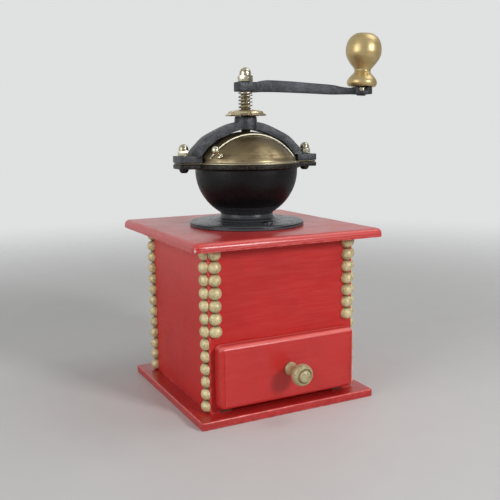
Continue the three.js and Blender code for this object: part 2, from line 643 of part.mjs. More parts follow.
function shaft() {
  const { radius, journal, square, thread, bottom, top } = SHAFT;
  const shoulder = BEARING.bottom + BEARING.thick + 1.6;
  const round = revolve([
    [0, bottom], [journal - 0.5, bottom], [journal, bottom + 0.5], [journal, shoulder], [radius, shoulder],
    [radius, ARM.bottom - 0.15], [thread, ARM.bottom - 0.15], [thread, top - 0.6],
    [thread - 0.6, top], [0, top],
  ], 20);
  const flats = block(-square / 2, square / 2, -square / 2, square / 2, ARM.bottom - 0.15, ARM.top - 0.4);
  return join(round, flats);
}

// The arm is a strap on edge, deepest near the hub, ending in an eye rolled round the pin's bush
function crankArm() {
  const { reach, bottom, top, thick, hubHalf, hubWidth } = ARM;
  const crest = new THREE.SplineCurve([
    new THREE.Vector2(5, 248.2), new THREE.Vector2(15, 250.5), new THREE.Vector2(30, 250.9),
    new THREE.Vector2(63, 249.4), new THREE.Vector2(82, 248.4), new THREE.Vector2(94, 246.3),
    new THREE.Vector2(reach - 7, EYE.top - 0.9),
  ]).getPoints(11);
  const chamfer = 0.9;
  const rings = crest.map(({ x, y: crestZ }) => {
    const along = (x - hubHalf) / (reach - hubHalf);
    const sway = 1.6 * Math.sin(2 * Math.PI * along) + 1.6 * Math.max(along, 0);
    const half = thick / 2;
    const floor = bottom - 0.5 * along;
    return [
      [-half, floor + chamfer], [-half + chamfer, floor],
      [half - chamfer, floor], [half, floor + chamfer],
      [half, crestZ - chamfer], [half - chamfer, crestZ],
      [-half + chamfer, crestZ], [-half, crestZ - chamfer],
    ].map(([y, z]) => new THREE.Vector3(x, sway + y, z));
  });
  const hub = board(2 * hubHalf, hubWidth, top - bottom, 1.2, 0.8).translate(0, 0, bottom);
  const eye = revolve([
    [0, bottom - 0.4], [EYE.outer - 0.6, bottom - 0.4], [EYE.outer, bottom + 0.2],
    [EYE.outer, EYE.top - 0.8], [EYE.outer - 0.8, EYE.top], [0, EYE.top],
  ], 24).translate(reach, 0, 0);
  const eyeHole = rod(EYE.inner, bottom - 2, EYE.top + 2, 20).translate(reach, 0, 0);
  const mouth = new THREE.Shape();
  mouth.moveTo(0, 0);
  mouth.absarc(0, 0, EYE.outer + 3, radians(EYE.slitFrom), radians(EYE.slitTo));
  const slit = extrude(mouth, 12, 0, 1, 4).translate(reach, 0, bottom - 3);
  const square = SHAFT.square / 2 + GAP;
  const hubHole = block(-square, square, -square, square, bottom - 2, top + 4);
  return cut(join(loft(rings), hub, eye), eyeHole, slit, hubHole);
}

function knobBody() {
  const { height, bore } = KNOB;
  return revolveRing([
    [bore, 0], [11.5, 0], [12.4, 1.4], [12.9, 3.3], [11.5, 7.2], [7.8, 11.1], [6.8, 12.4],
    [7.2, 13], [6.8, 13.6], [7.6, 15.2], [10.8, 18.9], [13.4, 22.8], [14.95, 26.7], [15.3, 30.6],
    [14.8, 34.5], [13.6, 38.4], [10.8, 42.2], [7.1, height], [5.4, height],
    [5.4, height - 1.8], [bore, height - 1.8],
  ], 20);
}

// Shaft, burr, washer, crank and everything that turns with them
function crank() {
  const group = new THREE.Group();
  const burrBase = BURR.bottom - 0.7;
  add(group, 'shaft', shaft(), FINISH.steel);
  add(group, 'inner_burr', innerBurr(), FINISH.burrSteel);
  const { corner, height } = BURR_NUT;
  const nut = cut(hexBar(corner, 0, height), rod(SHAFT.radius + GAP, -1, height + 1));
  add(group, 'burr_nut', nut, FINISH.steel, [0, 0, burrBase - GAP - height]);
  const washer = tube(SHAFT.radius + GAP, WASHER.radius, WASHER.thick);
  add(group, 'crank_washer', washer, FINISH.steel, [0, 0, WASHER.bottom]);
  add(group, 'crank_arm', crankArm(), FINISH.castIron);
  const capNutSeat = [0, 0, ARM.top + GAP];
  add(group, 'crank_cap_nut', capNut(CRANK_NUT), FINISH.steel, capNutSeat, CRANK_NUT.turn);

  const eyeHeight = EYE.top - ARM.bottom;
  const bush = tube(KNOB.bore, EYE.inner - GAP, eyeHeight);
  add(group, 'knob_bush', bush, FINISH.brass, [ARM.reach, 0, ARM.bottom]);

  const lean = new THREE.Group();
  lean.position.set(ARM.reach, 0, (ARM.bottom + EYE.top) / 2);
  lean.rotation.y = radians(KNOB.lean);
  const below = -eyeHeight / 2 - 1.1;
  const knobTop = KNOB.lift + KNOB.height;
  const pin = revolve([
    [0, below - 1.6], [4, below - 1.6], [4.8, below - 0.8], [4.8, below], [KNOB.pin, below],
    [KNOB.pin, knobTop - 1.5], [5, knobTop - 1.5], [4.6, knobTop - 0.3], [0, knobTop],
  ], 20);
  add(lean, 'knob_pin', pin, FINISH.steel);
  add(lean, 'crank_knob', knobBody(), FINISH.goldPaint, [0, 0, KNOB.lift]);
  group.add(lean);
  group.rotation.z = radians(CRANK_TURN);
  return group;
}

// The fixed iron and brass work on the lid board
function mill() {
  const group = new THREE.Group();
  const turned = new THREE.Group();
  turned.rotation.z = radians(MILL_TURN);
  add(turned, 'hopper_bowl', hopperBowl(), FINISH.castIron);
  add(turned, 'outer_burr', outerBurr(), FINISH.burrSteel);
  add(turned, 'dome_cover', domeCover(), FINISH.agedBrass);
  add(turned, 'bridge', bridge(), FINISH.castIron);
  turned.add(earBolts(), lowerBearing());
  group.add(turned, flangeScrews());

  add(group, 'cover_door', coverDoor(), FINISH.agedBrass);
  const knobFrame = doorKnobFrame();
  add(knobFrame, 'cover_knob', coverKnob(), FINISH.brass);
  group.add(knobFrame);

  add(group, 'adjusting_wheel', adjustingWheel(), FINISH.brass, [0, 0, 0], WHEEL.turn);
  add(group, 'spring', spring(), FINISH.steel);
  return group;
}

const grinder = new THREE.Group();
grinder.name = 'coffee_grinder';
grinder.add(woodenBox(), drawer(), mill(), crank());

export default grinder;
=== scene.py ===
"""Looks of a hand-cranked box coffee grinder: a painted wooden box with gilded beads and a drawer,
a cast-iron hopper with a brass dome cover, and a crank on the adjusting screw above it.

Outlines are written in millimetres and become metres in the mesh. +Z is up and the drawer faces -Y.
"""

import json
import math

import bmesh
import bpy
from mathutils import Color, Matrix, Vector

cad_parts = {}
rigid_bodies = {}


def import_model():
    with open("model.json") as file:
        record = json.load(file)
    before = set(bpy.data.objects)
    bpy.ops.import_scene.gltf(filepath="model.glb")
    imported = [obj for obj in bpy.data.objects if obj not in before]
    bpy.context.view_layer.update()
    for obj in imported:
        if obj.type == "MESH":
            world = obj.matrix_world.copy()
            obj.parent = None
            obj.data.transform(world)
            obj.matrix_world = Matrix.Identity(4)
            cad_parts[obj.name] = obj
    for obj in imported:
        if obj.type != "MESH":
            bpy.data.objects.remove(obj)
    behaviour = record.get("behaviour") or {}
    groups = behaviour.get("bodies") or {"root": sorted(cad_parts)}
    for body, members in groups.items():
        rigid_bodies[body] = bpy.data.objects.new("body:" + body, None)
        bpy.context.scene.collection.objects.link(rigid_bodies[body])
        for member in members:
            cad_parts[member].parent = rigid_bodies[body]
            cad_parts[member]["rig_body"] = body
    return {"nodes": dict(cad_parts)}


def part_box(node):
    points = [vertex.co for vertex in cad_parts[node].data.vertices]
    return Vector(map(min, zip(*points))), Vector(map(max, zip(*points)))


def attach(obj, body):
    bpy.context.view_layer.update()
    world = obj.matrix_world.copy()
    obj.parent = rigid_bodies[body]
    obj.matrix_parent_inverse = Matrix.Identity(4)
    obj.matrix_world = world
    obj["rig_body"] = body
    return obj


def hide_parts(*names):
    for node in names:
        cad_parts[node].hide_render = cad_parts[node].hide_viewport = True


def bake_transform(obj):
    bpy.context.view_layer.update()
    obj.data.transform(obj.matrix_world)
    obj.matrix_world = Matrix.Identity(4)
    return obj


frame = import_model()

bl_info = {
    "name": "Box Coffee Grinder",
    "version": (1, 0, 0),
    "blender": (4, 5, 0),
    "location": "View3D > Sidebar > Grinder",
    "description": "Models and finishes the pieces of a hand-cranked box coffee grinder",
    "category": "Add Mesh",
}

MM = 0.001
TURN_STEPS = 96

# The iron work stands on the lid turned a little from the box, and the crank points to the side
MILL_TURN = math.radians(-5)
CRANK_TURN = math.radians(2)
KNOB_LEAN = math.radians(3)
EAR_REACH = 52.1

# The crank arm: how far its eye stands from the shaft, its underside, and the top of the eye
ARM_REACH = 114.5
ARM_BOTTOM = 241.4
EYE_TOP = 246.9

# Beads in a string as high as the box, and in one that stops above the drawer
BEADS_HIGH = 13
BEADS_SHORT = 7

# Millimetres within which points merge, and within which two places count as the same
MERGED = 0.002
SAME = 0.01

# Radians between the faces of an edge that belongs to a board's outline
OUTLINE_ANGLE = 1.2

# Camera of the photographed view, fitted to the edges of both boards
CAMERA_AZIMUTH = math.radians(-26.76)
CAMERA_ELEVATION = math.radians(9.55)
CAMERA_ROLL = math.radians(-0.593)
CAMERA_DISTANCE = 0.5898
CAMERA_TARGET = Vector((2.686, 0, 114.056)) * MM
CAMERA_LENS = 51.6


def span(node):
    """A CAD node's lowest and highest corner at rest, in millimetres."""
    low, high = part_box(node)
    return low / MM, high / MM


def length(name, description, millimetres):
    """A size that a user can change."""
    return bpy.props.FloatProperty(
        name=name,
        description=description,
        default=millimetres * MM,
        min=0.0,
        unit="LENGTH",
        subtype="DISTANCE",
    )


def tint(name, description, red, green, blue):
    """A colour that a user can change, given as it shows on a screen."""
    return bpy.props.FloatVectorProperty(
        name=name,
        description=description,
        default=(red / 255, green / 255, blue / 255),
        min=0.0,
        max=1.0,
        size=3,
        subtype="COLOR_GAMMA",
    )


class GrinderSizes(bpy.types.PropertyGroup):
    """Sizes of the fine shape that the frame doesn't hold"""

    lid_edge: length("Lid Edge", "Rounding of the lid board's upper edges", 4.2)
    base_edge: length("Base Edge", "Rounding of the base board's edges", 0.9)
    panel_edge: length("Panel Edge", "Rounding of the box's upright edges", 0.7)
    paint_sag: length("Paint Sag", "How far the thick paint swells and sags along the boards", 0.32)
    drawer_round: length("Drawer Rounding", "Rounding of the drawer front's face edges", 3.2)
    drawer_groove: length("Drawer Groove", "Groove between the drawer's rounding and its field", 0.3)
    bead_radius: length("Bead Radius", "Radius of the half-round beads", 4.85)
    bead_dent: length("Bead Dent", "Unevenness of the beads under their paint", 0.3)
    thread_pitch: length("Thread Pitch", "Rise of the shaft's thread in one turn", 1.25)
    thread_depth: length("Thread Depth", "Depth of the shaft's thread", 0.6)
    wire: length("Spring Wire", "Diameter of the spring's wire", 0.9)


class GrinderColours(bpy.types.PropertyGroup):
    """Colours of the grinder's finishes and of its surroundings"""

    red: tint("Red Paint", "Satin red paint on the box", 190, 34, 31)
    red_deep: tint("Deep Red", "Red paint where it lies thick", 166, 27, 28)
    # This pale red serves for rubbed paint and also for painted highlights and a painted reflection on the
    # box.
    red_worn: tint("Worn Red", "Rubbed paint along the edges", 224, 116, 110)
    wood: tint("Bare Wood", "Unpainted wood inside", 205, 170, 122)
    wood_grain: tint("Wood Grain", "Late wood in the unpainted boards", 164, 121, 77)
    gilding: tint("Gilding", "Pale gold paint on beads and drawer knob", 218, 203, 156)
    gilding_shade: tint("Gilding Shade", "Gold paint where it is thin or dirty", 126, 112, 66)
    knob_gold: tint("Knob Gold", "Warmer gold paint on the crank knob", 194, 172, 122)
    enamel: tint("Black Enamel", "Satin black of the hopper", 11, 10, 12)
    graphite: tint("Graphite Iron", "Grey black of bridge and arm", 68, 70, 74)
    dome: tint("Aged Brass", "Olive brass of the dome cover", 158, 141, 108)
    # This dark brass serves for tarnish and also for painted shade on the dome's top and on its lugs.
    dome_stain_and_shade: tint("Brass Stain", "Tarnish on the dome cover", 92, 80, 56)
    brass: tint("Brass", "Yellow brass of wheel and bush", 212, 198, 162)
    plating: tint("Plating", "Pale plating of the cap nuts", 200, 194, 172)
    primer: tint("Primer", "Pale ground where the paint is chipped", 232, 222, 214)
    steel: tint("Steel", "Plain steel of screws and spring", 176, 170, 158)
    burr: tint("Burr Steel", "Dull hardened steel of the burrs", 118, 118, 120)
    backdrop: tint("Backdrop", "Pale wall around the grinder", 224, 225, 225)
    floor: tint("Floor", "Pale floor under the grinder", 205, 204, 203)


def clear_selection():
    """Leaves edit mode and leaves nothing selected."""
    if bpy.context.object and bpy.context.object.mode != "OBJECT":
        bpy.ops.object.mode_set(mode="OBJECT")
    bpy.ops.object.select_all(action="DESELECT")


def take(piece):
    """Makes one piece the only selected and active one."""
    clear_selection()
    piece.select_set(True)
    bpy.context.view_layer.objects.active = piece
    return piece


def edit(piece, kind="VERT"):
    """Opens a piece in edit mode with nothing picked."""
    take(piece)
    bpy.ops.object.mode_set(mode="EDIT")
    bpy.ops.mesh.select_mode(type=kind)
    bpy.ops.mesh.select_all(action="DESELECT")


def close():
    """Merges doubles, turns every face outwards and leaves edit mode."""
    bpy.ops.mesh.select_all(action="SELECT")
    bpy.ops.mesh.remove_doubles(threshold=MERGED * MM)
    bpy.ops.mesh.normals_make_consistent(inside=False)
    bpy.ops.object.mode_set(mode="OBJECT")


def pick(kind, test):
    """Picks the verts, edges or faces of the piece in edit mode that pass a test."""
    mesh = bpy.context.object.data
    shape = bmesh.from_edit_mesh(mesh)
    bpy.ops.mesh.select_all(action="DESELECT")
    for item in getattr(shape, kind):
        if test(item):
            item.select_set(True)
    bmesh.update_edit_mesh(mesh)


def middle(edge):
    """The middle of an edge, in millimetres."""
    return (edge.verts[0].co + edge.verts[1].co) / 2 / MM


def along(edge, axis):
    """True for an edge that runs along an axis, 0, 1 or 2."""
    run = edge.verts[1].co - edge.verts[0].co
    return abs(run[axis]) > 0.999 * run.length


def apply_modifier(piece, kind, **settings):
    """Adds one modifier, sets it up and applies it."""
    take(piece)
    modifier = piece.modifiers.new(kind.title(), kind)
    for name, value in settings.items():
        setattr(modifier, name, value)
    bpy.ops.object.modifier_apply(modifier=modifier.name)
    return piece


def combine(piece, other, operation="UNION"):
    """Joins another piece to this one, or cuts it away, and drops the other."""
    apply_modifier(piece, "BOOLEAN", object=other, operation=operation, solver="EXACT")
    bpy.data.objects.remove(other)
    return piece


def gather(pieces):
    """Several pieces as one object."""
    clear_selection()
    for piece in pieces:
        piece.select_set(True)
    bpy.context.view_layer.objects.active = pieces[0]
    bpy.ops.object.join()
    return pieces[0]


def place(piece, matrix):
    """Turns and moves a piece's mesh; its object stays at the origin."""
    take(piece)
    piece.matrix_world = matrix @ piece.matrix_world
    bpy.ops.object.transform_apply(location=True, rotation=True, scale=True)
    return piece


def spot(x, y, z, turn=0.0):
    """A place in millimetres with a turn about the upright axis."""
    return Matrix.Translation(Vector((x, y, z)) * MM) @ Matrix.Rotation(turn, 4, "Z")


def twin(piece):
    """A copy of a piece with its own mesh."""
    copy = piece.copy()
    copy.data = piece.data.copy()
    bpy.context.scene.collection.objects.link(copy)
    return copy


def start_line(name, points):
    """A new piece in edit mode that holds one line through points in millimetres."""
    clear_selection()
    bpy.ops.mesh.primitive_plane_add(size=MM)
    bpy.context.object.name = name
    bpy.ops.object.mode_set(mode="EDIT")
    bpy.ops.mesh.select_mode(type="VERT")
    bpy.ops.mesh.select_all(action="SELECT")
    bpy.ops.mesh.merge(type="CENTER")
    bpy.ops.transform.translate(value=Vector(points[0]) * MM)
    for here, there in zip(points, points[1:]):
        step = (Vector(there) - Vector(here)) * MM
        bpy.ops.mesh.extrude_vertices_move(TRANSFORM_OT_translate={"value": step})
    return bpy.context.object


def turned(name, outline, steps=TURN_STEPS, sweep=360.0):
    """Turns an outline of (radius, height) about the upright axis and closes a part turn's ends."""
    piece = start_line(name, [(r, 0, z) for r, z in outline])
    bpy.ops.mesh.select_all(action="SELECT")
    bpy.ops.mesh.spin(steps=steps, angle=math.radians(sweep), center=(0, 0, 0), axis=(0, 0, 1))
    bpy.ops.mesh.select_all(action="SELECT")
    bpy.ops.mesh.remove_doubles(threshold=MERGED * MM)
    if sweep < 360:
        pick("edges", lambda e: e.is_boundary)
        bpy.ops.mesh.fill(use_beauty=True)
    close()
    return piece


def plate(name, outline, low, high, edge=0.0, segments=2):
    """A flat plate with an outline of (x, y), from one height to another, with its edges eased."""
    piece = start_line(name, [(x, y, low) for x, y in outline])
    bpy.ops.mesh.select_all(action="SELECT")
    bpy.ops.mesh.edge_face_add()
    bpy.ops.mesh.extrude_region_move(TRANSFORM_OT_translate={"value": (0, 0, (high - low) * MM)})
    close()
    if edge:
        soften(piece, edge, segments)
    return piece


def soften(piece, edge, segments=2, angle=40.0):
    """Rounds every sharp edge by a width in millimetres."""
    return apply_modifier(
        piece,
        "BEVEL",
        width=edge * MM,
        segments=segments,
        limit_method="ANGLE",
        angle_limit=math.radians(angle),
    )


def roughen(piece, amount, grain):
    """Swells and dents a piece by soft noise, by an amount and at a grain in millimetres."""
    name = f"Hand Made {grain}"
    texture = bpy.data.textures.get(name) or bpy.data.textures.new(name, "CLOUDS")
    texture.noise_scale = grain * MM
    texture.noise_depth = 1
    return apply_modifier(
        piece, "DISPLACE", texture=texture, texture_coords="LOCAL", strength=amount * MM, mid_level=0.5
    )


def between(p, q, r, s, t):
    """The smooth curve's value at a share t of the way from q to r, with p before and s after."""
    square = 2 * p - 5 * q + 4 * r - s
    cube = 3 * q - p - 3 * r + s
    return 0.5 * (2 * q + (r - p) * t + square * t**2 + cube * t**3)


def flowing(points, steps):
    """A smooth line through the points, with some steps between each two."""
    ends = [points[0], *points, points[-1]]
    line = []
    for a, b, c, d in zip(ends, ends[1:], ends[2:], ends[3:]):
        for step in range(steps):
            t = step / steps
            line.append(tuple(between(*near, t) for near in zip(a, b, c, d)))
    return [*line, points[-1]]


def eased(corners, steps=3):
    """An outline of (x, y) or, where a corner is rounded, (x, y, reach of its rounding)."""
    line = []
    for i, (x, y, *reach) in enumerate(corners):
        if not reach:
            line.append((x, y))
            continue
        here = Vector((x, y))
        start = here + (Vector(corners[i - 1][:2]) - here).normalized() * reach[0]
        end = here + (Vector(corners[i + 1][:2]) - here).normalized() * reach[0]
        for step in range(steps + 1):
            t = step / steps
            line.append(tuple(start.lerp(here, t).lerp(here.lerp(end, t), t)))
    return line


def arc(x, y, radius, start, end, steps=8):
    """Points of a circular arc, from one angle to another in degrees."""
    angles = [math.radians(start + (end - start) * step / steps) for step in range(steps + 1)]
    return [(x + radius * math.cos(a), y + radius * math.sin(a)) for a in angles]


def oblong(x, y):
    """The outline of an oblong by its half width and half depth."""
    return [(-x, -y), (x, -y), (x, y), (-x, y)]


def drill(piece, radius, low, high, steps, where=None):
    """Cuts a round hole along the upright axis, or at a place, from one height to another."""
    rod = turned("drill", [(0, low), (radius, low), (radius, high), (0, high)], steps)
    if where:
        place(rod, where)
    return combine(piece, rod, "DIFFERENCE")


def ring(name, bore, radius, low, high, edge, steps):
    """A flat ring whose two outer edges are rounded."""
    outline = [(bore, low), (radius, low, edge), (radius, high, edge), (bore, high), (bore, low)]
    return turned(name, eased(outline, steps), 48)


def pick_rim(side, half):
    """Picks the open rim above a height in millimetres, for side 1, or below it, for -1."""
    pick("edges", lambda e: e.is_boundary and (middle(e).z - half) * side > 0)


def at_corner(where, low, high, axes):
    """True for a place on a corner of a box, seen along the axis that isn't named."""
    return all(min(abs(where[a] - low[a]), abs(where[a] - high[a])) < SAME for a in axes)


def on_outline(edge, axis, level):
    """True for a sharp edge that lies at a level along an axis."""
    return edge.calc_face_angle(0) > OUTLINE_ANGLE and abs(middle(edge)[axis] - level) < SAME


def dress(piece, material, node, smooth):
    """Shades, finishes and names a piece for the CAD node that it stands for."""
    take(piece)
    bpy.ops.object.shade_smooth_by_angle(angle=math.radians(smooth))
    piece.data.materials.clear()
    piece.data.materials.append(material)
    piece.name = piece.data.name = f"fine_{node}"


def settle(piece, material, node, smooth=38.0):
    """Finishes a piece and puts it in place of its CAD node."""
    dress(piece, material, node, smooth)
    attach(piece, frame["nodes"][node]["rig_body"])
    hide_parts(node)


def paint_nodes(material, *nodes):
    """Gives CAD nodes that stay in view their finish."""
    for node in nodes:
        mesh = frame["nodes"][node].data
        mesh.materials.clear()
        mesh.materials.append(material)


class Value:
    """A value on its way through a finish, which sums and products are written with."""

    def __init__(self, finish, socket):
        self.finish = finish
        self.socket = socket

    def maths(self, operation, *others):
        """The result of one operation on this value and others."""
        return self.finish.node("Math", {"operation": operation}, dict(enumerate((self, *others))))

    def __add__(self, other):
        return self.maths("ADD", other)

    def __mul__(self, other):
        return self.maths("MULTIPLY", other)

    def __sub__(self, other):
        return self.maths("SUBTRACT", other)

    def __rsub__(self, other):
        return self.finish.node("Math", {"operation": "SUBTRACT"}, {0: other, 1: self})

    __radd__ = __add__
    __rmul__ = __mul__


class Finish:
    """A material or world in the making: its nodes, and the patterns that finishes share."""

    def __init__(self, name, kind=bpy.data.materials):
        self.material = kind.new(name)
        self.material.use_nodes = True
        self.tree = self.material.node_tree
        self.tree.nodes.clear()
        self.spot = self.node("TexCoord", output="Object")

    def node(self, kind, settings=None, values=None, output=0):
        """Adds a node, sets it up, links or fills its sockets and gives one output."""
        made = self.tree.nodes.new(f"ShaderNode{kind}")
        for name, setting in (settings or {}).items():
            setattr(made, name, setting)
        for key, value in (values or {}).items():
            if isinstance(value, Value):
                self.tree.links.new(value.socket, made.inputs[key])
            else:
                made.inputs[key].default_value = value
        return Value(self, made.outputs[output])

    def stretched(self, scale):
        """The place on the piece, stretched along the axes."""
        return self.node("Mapping", {}, {"Vector": self.spot, "Scale": scale})

    def around(self, radius, height):
        """A place by its radius and height, for marks that run round the upright axis."""
        return self.node("CombineXYZ", {}, {0: radius, 1: height, 2: 0.0})

    def distance(self, point):
        """The distance from a point, in metres."""
        values = {0: self.spot, 1: point}
        return self.node("VectorMath", {"operation": "DISTANCE"}, values, output="Value")

    def axes(self):
        """The three coordinates of a place, as values in metres."""
        split = self.node("SeparateXYZ", {}, {0: self.spot})
        outputs = split.socket.node.outputs
        return [Value(self, outputs[i]) for i in range(3)]

    def noise(self, grain, detail=2.0, stretch=(1, 1, 1), vector=None, roughness=0.5):
        """Soft noise around 0.5 with a grain in millimetres."""
        values = {"Vector": vector or self.stretched(stretch), "Scale": 1 / (grain * MM)}
        values |= {"Detail": detail, "Roughness": roughness}
        return self.node("TexNoise", {}, values)

    def specks(self, grain):
        """Cells with a grain in millimetres, as a distance from each cell's middle."""
        values = {"Vector": self.spot, "Scale": 1 / (grain * MM), "Randomness": 1.0}
        return self.node("TexVoronoi", {}, values)

    def rise(self, value, start, end):
        """0 before a start, 1 after an end, and a soft step between."""
        values = {"Value": value, "From Min": start, "From Max": end}
        return self.node("MapRange", {"interpolation_type": "SMOOTHSTEP"}, values)

    def fall(self, value, start, end):
        """1 before a start and 0 after an end."""
        return 1 - self.rise(value, start, end)

    def mix(self, factor, base, over):
        """One colour over another."""
        values = {"Factor": factor, "A": base, "B": over}
        return self.node("Mix", {"data_type": "RGBA"}, values, output="Result")

    def radius(self):
        """The distance from the upright axis, in metres."""
        x, y, _ = self.axes()
        return (x * x + y * y).maths("SQRT")

    def edge_distance(self, low, high):
        """The distance from the nearest edge of a board with the given corners in millimetres."""
        gaps = []
        for value, near, far in zip(self.axes(), low * MM, high * MM):
            to_far = (value - far).maths("ABSOLUTE")
            gaps.append((value - near).maths("ABSOLUTE").maths("MINIMUM", to_far))
        least = gaps[0].maths("MINIMUM", gaps[1]).maths("MINIMUM", gaps[2])
        most = gaps[0].maths("MAXIMUM", gaps[1]).maths("MAXIMUM", gaps[2])
        return gaps[0] + gaps[1] + gaps[2] - least - most

    def bump(self, height, distance, strength=1.0):
        """A surface normal bent by a height, at a distance in millimetres."""
        values = {"Height": height, "Distance": distance * MM, "Strength": strength}
        return self.node("Bump", {}, values)

    def done(self, **sockets):
        """Closes the finish with its surface shader."""
        values = {}
        for name, value in sockets.items():
            values[name.replace("_", " ").title().replace("Ior", "IOR")] = value
        shader = self.node("BsdfPrincipled", {}, values)
        self.node_output(shader)
        return self.material

    def node_output(self, shader, kind="Material"):
        """Links a shader to the output."""
        output = self.tree.nodes.new(f"ShaderNodeOutput{kind}")
        self.tree.links.new(shader.socket, output.inputs["Surface"])


def screen(colour, dim=1.0):
    """A colour property as light, made darker by a factor."""
    light = Color(colour).from_srgb_to_scene_linear() * dim
    return (*light, 1.0)


def red_paint(name, low, high, wall=0.0, gloss=0.0, ridges=(), crown=0.0, rubbed=0.0):
    """Satin red paint brushed on by hand, rubbed along the edges, where it is also lightened as a painted
    highlight.

    A wall in millimetres leaves the inside bare, and lightens the left wall's upper part as a painted
    reflection.
    Ridges of thick paint run at shares of the height, lightened as a painted highlight.
    A crown in millimetres is the rounding on top, lightened by a share as rubbed paint and a painted
    highlight.
    The base board and the walls' lowest millimetres are darker: dust and painted shade.
    """
    colours = bpy.context.scene.grinder_colours
    finish = Finish(name)
    _, _, height = finish.axes()
    strokes = finish.noise(1.1, detail=3, stretch=(0.05, 0.05, 1.0))
    flat_strokes = finish.noise(1.6, detail=3, stretch=(0.06, 1.0, 0.3))
    patches = finish.noise(26, detail=3)
    fine = finish.noise(0.5, detail=2)
    thick = finish.rise(patches, 0.42, 0.68)
    paint = finish.mix(thick * 0.35, screen(colours.red), screen(colours.red_deep))
    brushed = finish.rise(strokes * 0.6 + flat_strokes * 0.4, 0.38, 0.66)
    paint = finish.mix(brushed * 0.08, paint, screen(colours.red_worn))
    edge = finish.edge_distance(low, high)
    # Rubbed paint along the edges, lightened also as a painted highlight on the edge lines.
    rub_and_highlight = finish.fall(edge, 0.2 * MM, 1.5 * MM) * finish.rise(finish.noise(5, detail=3), 0.36, 0.62)
    paint = finish.mix(rub_and_highlight * 0.55, paint, screen(colours.red_worn))
    # Darker towards the bottom, over the base board and the walls' lowest millimetres: dust, and painted
    # shade where the walls meet the base.
    foot = finish.fall(height, 6.2 * MM, 9.5 * MM) * finish.rise(finish.noise(3, detail=3), 0.35, 0.6)
    paint = finish.mix(foot * 0.35, paint, screen(colours.red_deep, 0.6))
    sheen = 0.33 + 0.16 * brushed + 0.1 * patches
    relief = strokes * 0.5 + flat_strokes * 0.3 + patches * 2.0 + fine * 0.08
    if ridges:
        wander = (finish.noise(16, detail=3) - 0.5) * 0.004
        for share in ridges:
            level = (low.z + (high.z - low.z) * share) * MM
            ridge = finish.fall((height + wander - level).maths("ABSOLUTE"), 0.1 * MM, 0.8 * MM)
            relief = relief + ridge * 1.6
            # The ridges' lighter red is a painted highlight; their swell comes from the bump.
            paint = finish.mix(ridge * 0.22, paint, screen(colours.red_worn))
        corner = (low + Vector((1.0, 1.6, 1.5))) * MM
        away = finish.distance(corner) + (finish.noise(1.2, detail=2) - 0.5) * 0.003
        chip = finish.fall(away, 0.75 * MM, 1.05 * MM)
        paint = finish.mix(chip * 0.85, paint, screen(colours.primer))
    if crown:
        # The crown's brighter pale red is a painted highlight on the rounded top edge, with a share of
        # rubbed paint.
        top = finish.rise(height, (high.z - crown) * MM, (high.z - crown * 0.35) * MM)
        rim = finish.fall(edge, crown * 0.5 * MM, crown * 1.5 * MM)
        paint = finish.mix(top * rim * (rubbed + 0.4 * patches), paint, screen(colours.red_worn, 1.2))
    normal = finish.bump(relief, 0.16, 0.8)
    if wall:
        x, y, _ = finish.axes()
        half_x, half_y = (high.x - wall + 0.2) * MM, (high.y - wall + 0.2) * MM
        outside = (x.maths("ABSOLUTE") - half_x).maths("MAXIMUM", y.maths("ABSOLUTE") - half_y)
        inside = finish.fall(outside, -0.1 * MM, 0.1 * MM)
        grain = finish.rise(finish.noise(2.2, detail=4, stretch=(0.08, 0.08, 1)), 0.35, 0.7)
        bare = finish.mix(grain, screen(colours.wood), screen(colours.wood_grain))
        paint = finish.mix(inside, paint, bare)
        sheen = sheen + inside * 0.3
        # The left wall's upper part is lightened towards pale red: a painted reflection of the bright
        # surroundings.
        painted_reflection = finish.fall(x, low.x * MM, (low.x + 2) * MM) * finish.rise(height, 70 * MM, high.z * MM)
        paint = finish.mix(painted_reflection * (0.12 + 0.3 * patches), paint, screen(colours.red_worn))
    return finish.done(
        base_color=paint,
        roughness=sheen,
        normal=normal,
        specular_ior_level=0.3,
        coat_weight=gloss,
        coat_roughness=0.2,
    )


def bare_wood(name="Bare Wood", dim=1.0):
    """Unpainted wood with its grain along Y and dark pores; a dim below 1 darkens all of it, as painted
    shade on the runners.
    """
    colours = bpy.context.scene.grinder_colours
    finish = Finish(name)
    grain = finish.noise(2.6, detail=5, stretch=(1.0, 0.06, 1.0), roughness=0.6)
    pores = finish.noise(0.6, detail=2, stretch=(1.0, 0.08, 1.0))
    late = finish.rise(grain, 0.42, 0.68)
    wood = finish.mix(late * 0.75, screen(colours.wood, dim), screen(colours.wood_grain, dim))
    wood = finish.mix(finish.rise(pores, 0.6, 0.75) * 0.4, wood, screen(colours.wood_grain, 0.6 * dim))
    normal = finish.bump(grain + pores * 0.5, 0.12)
    return finish.done(base_color=wood, roughness=0.62 + 0.14 * late, normal=normal)


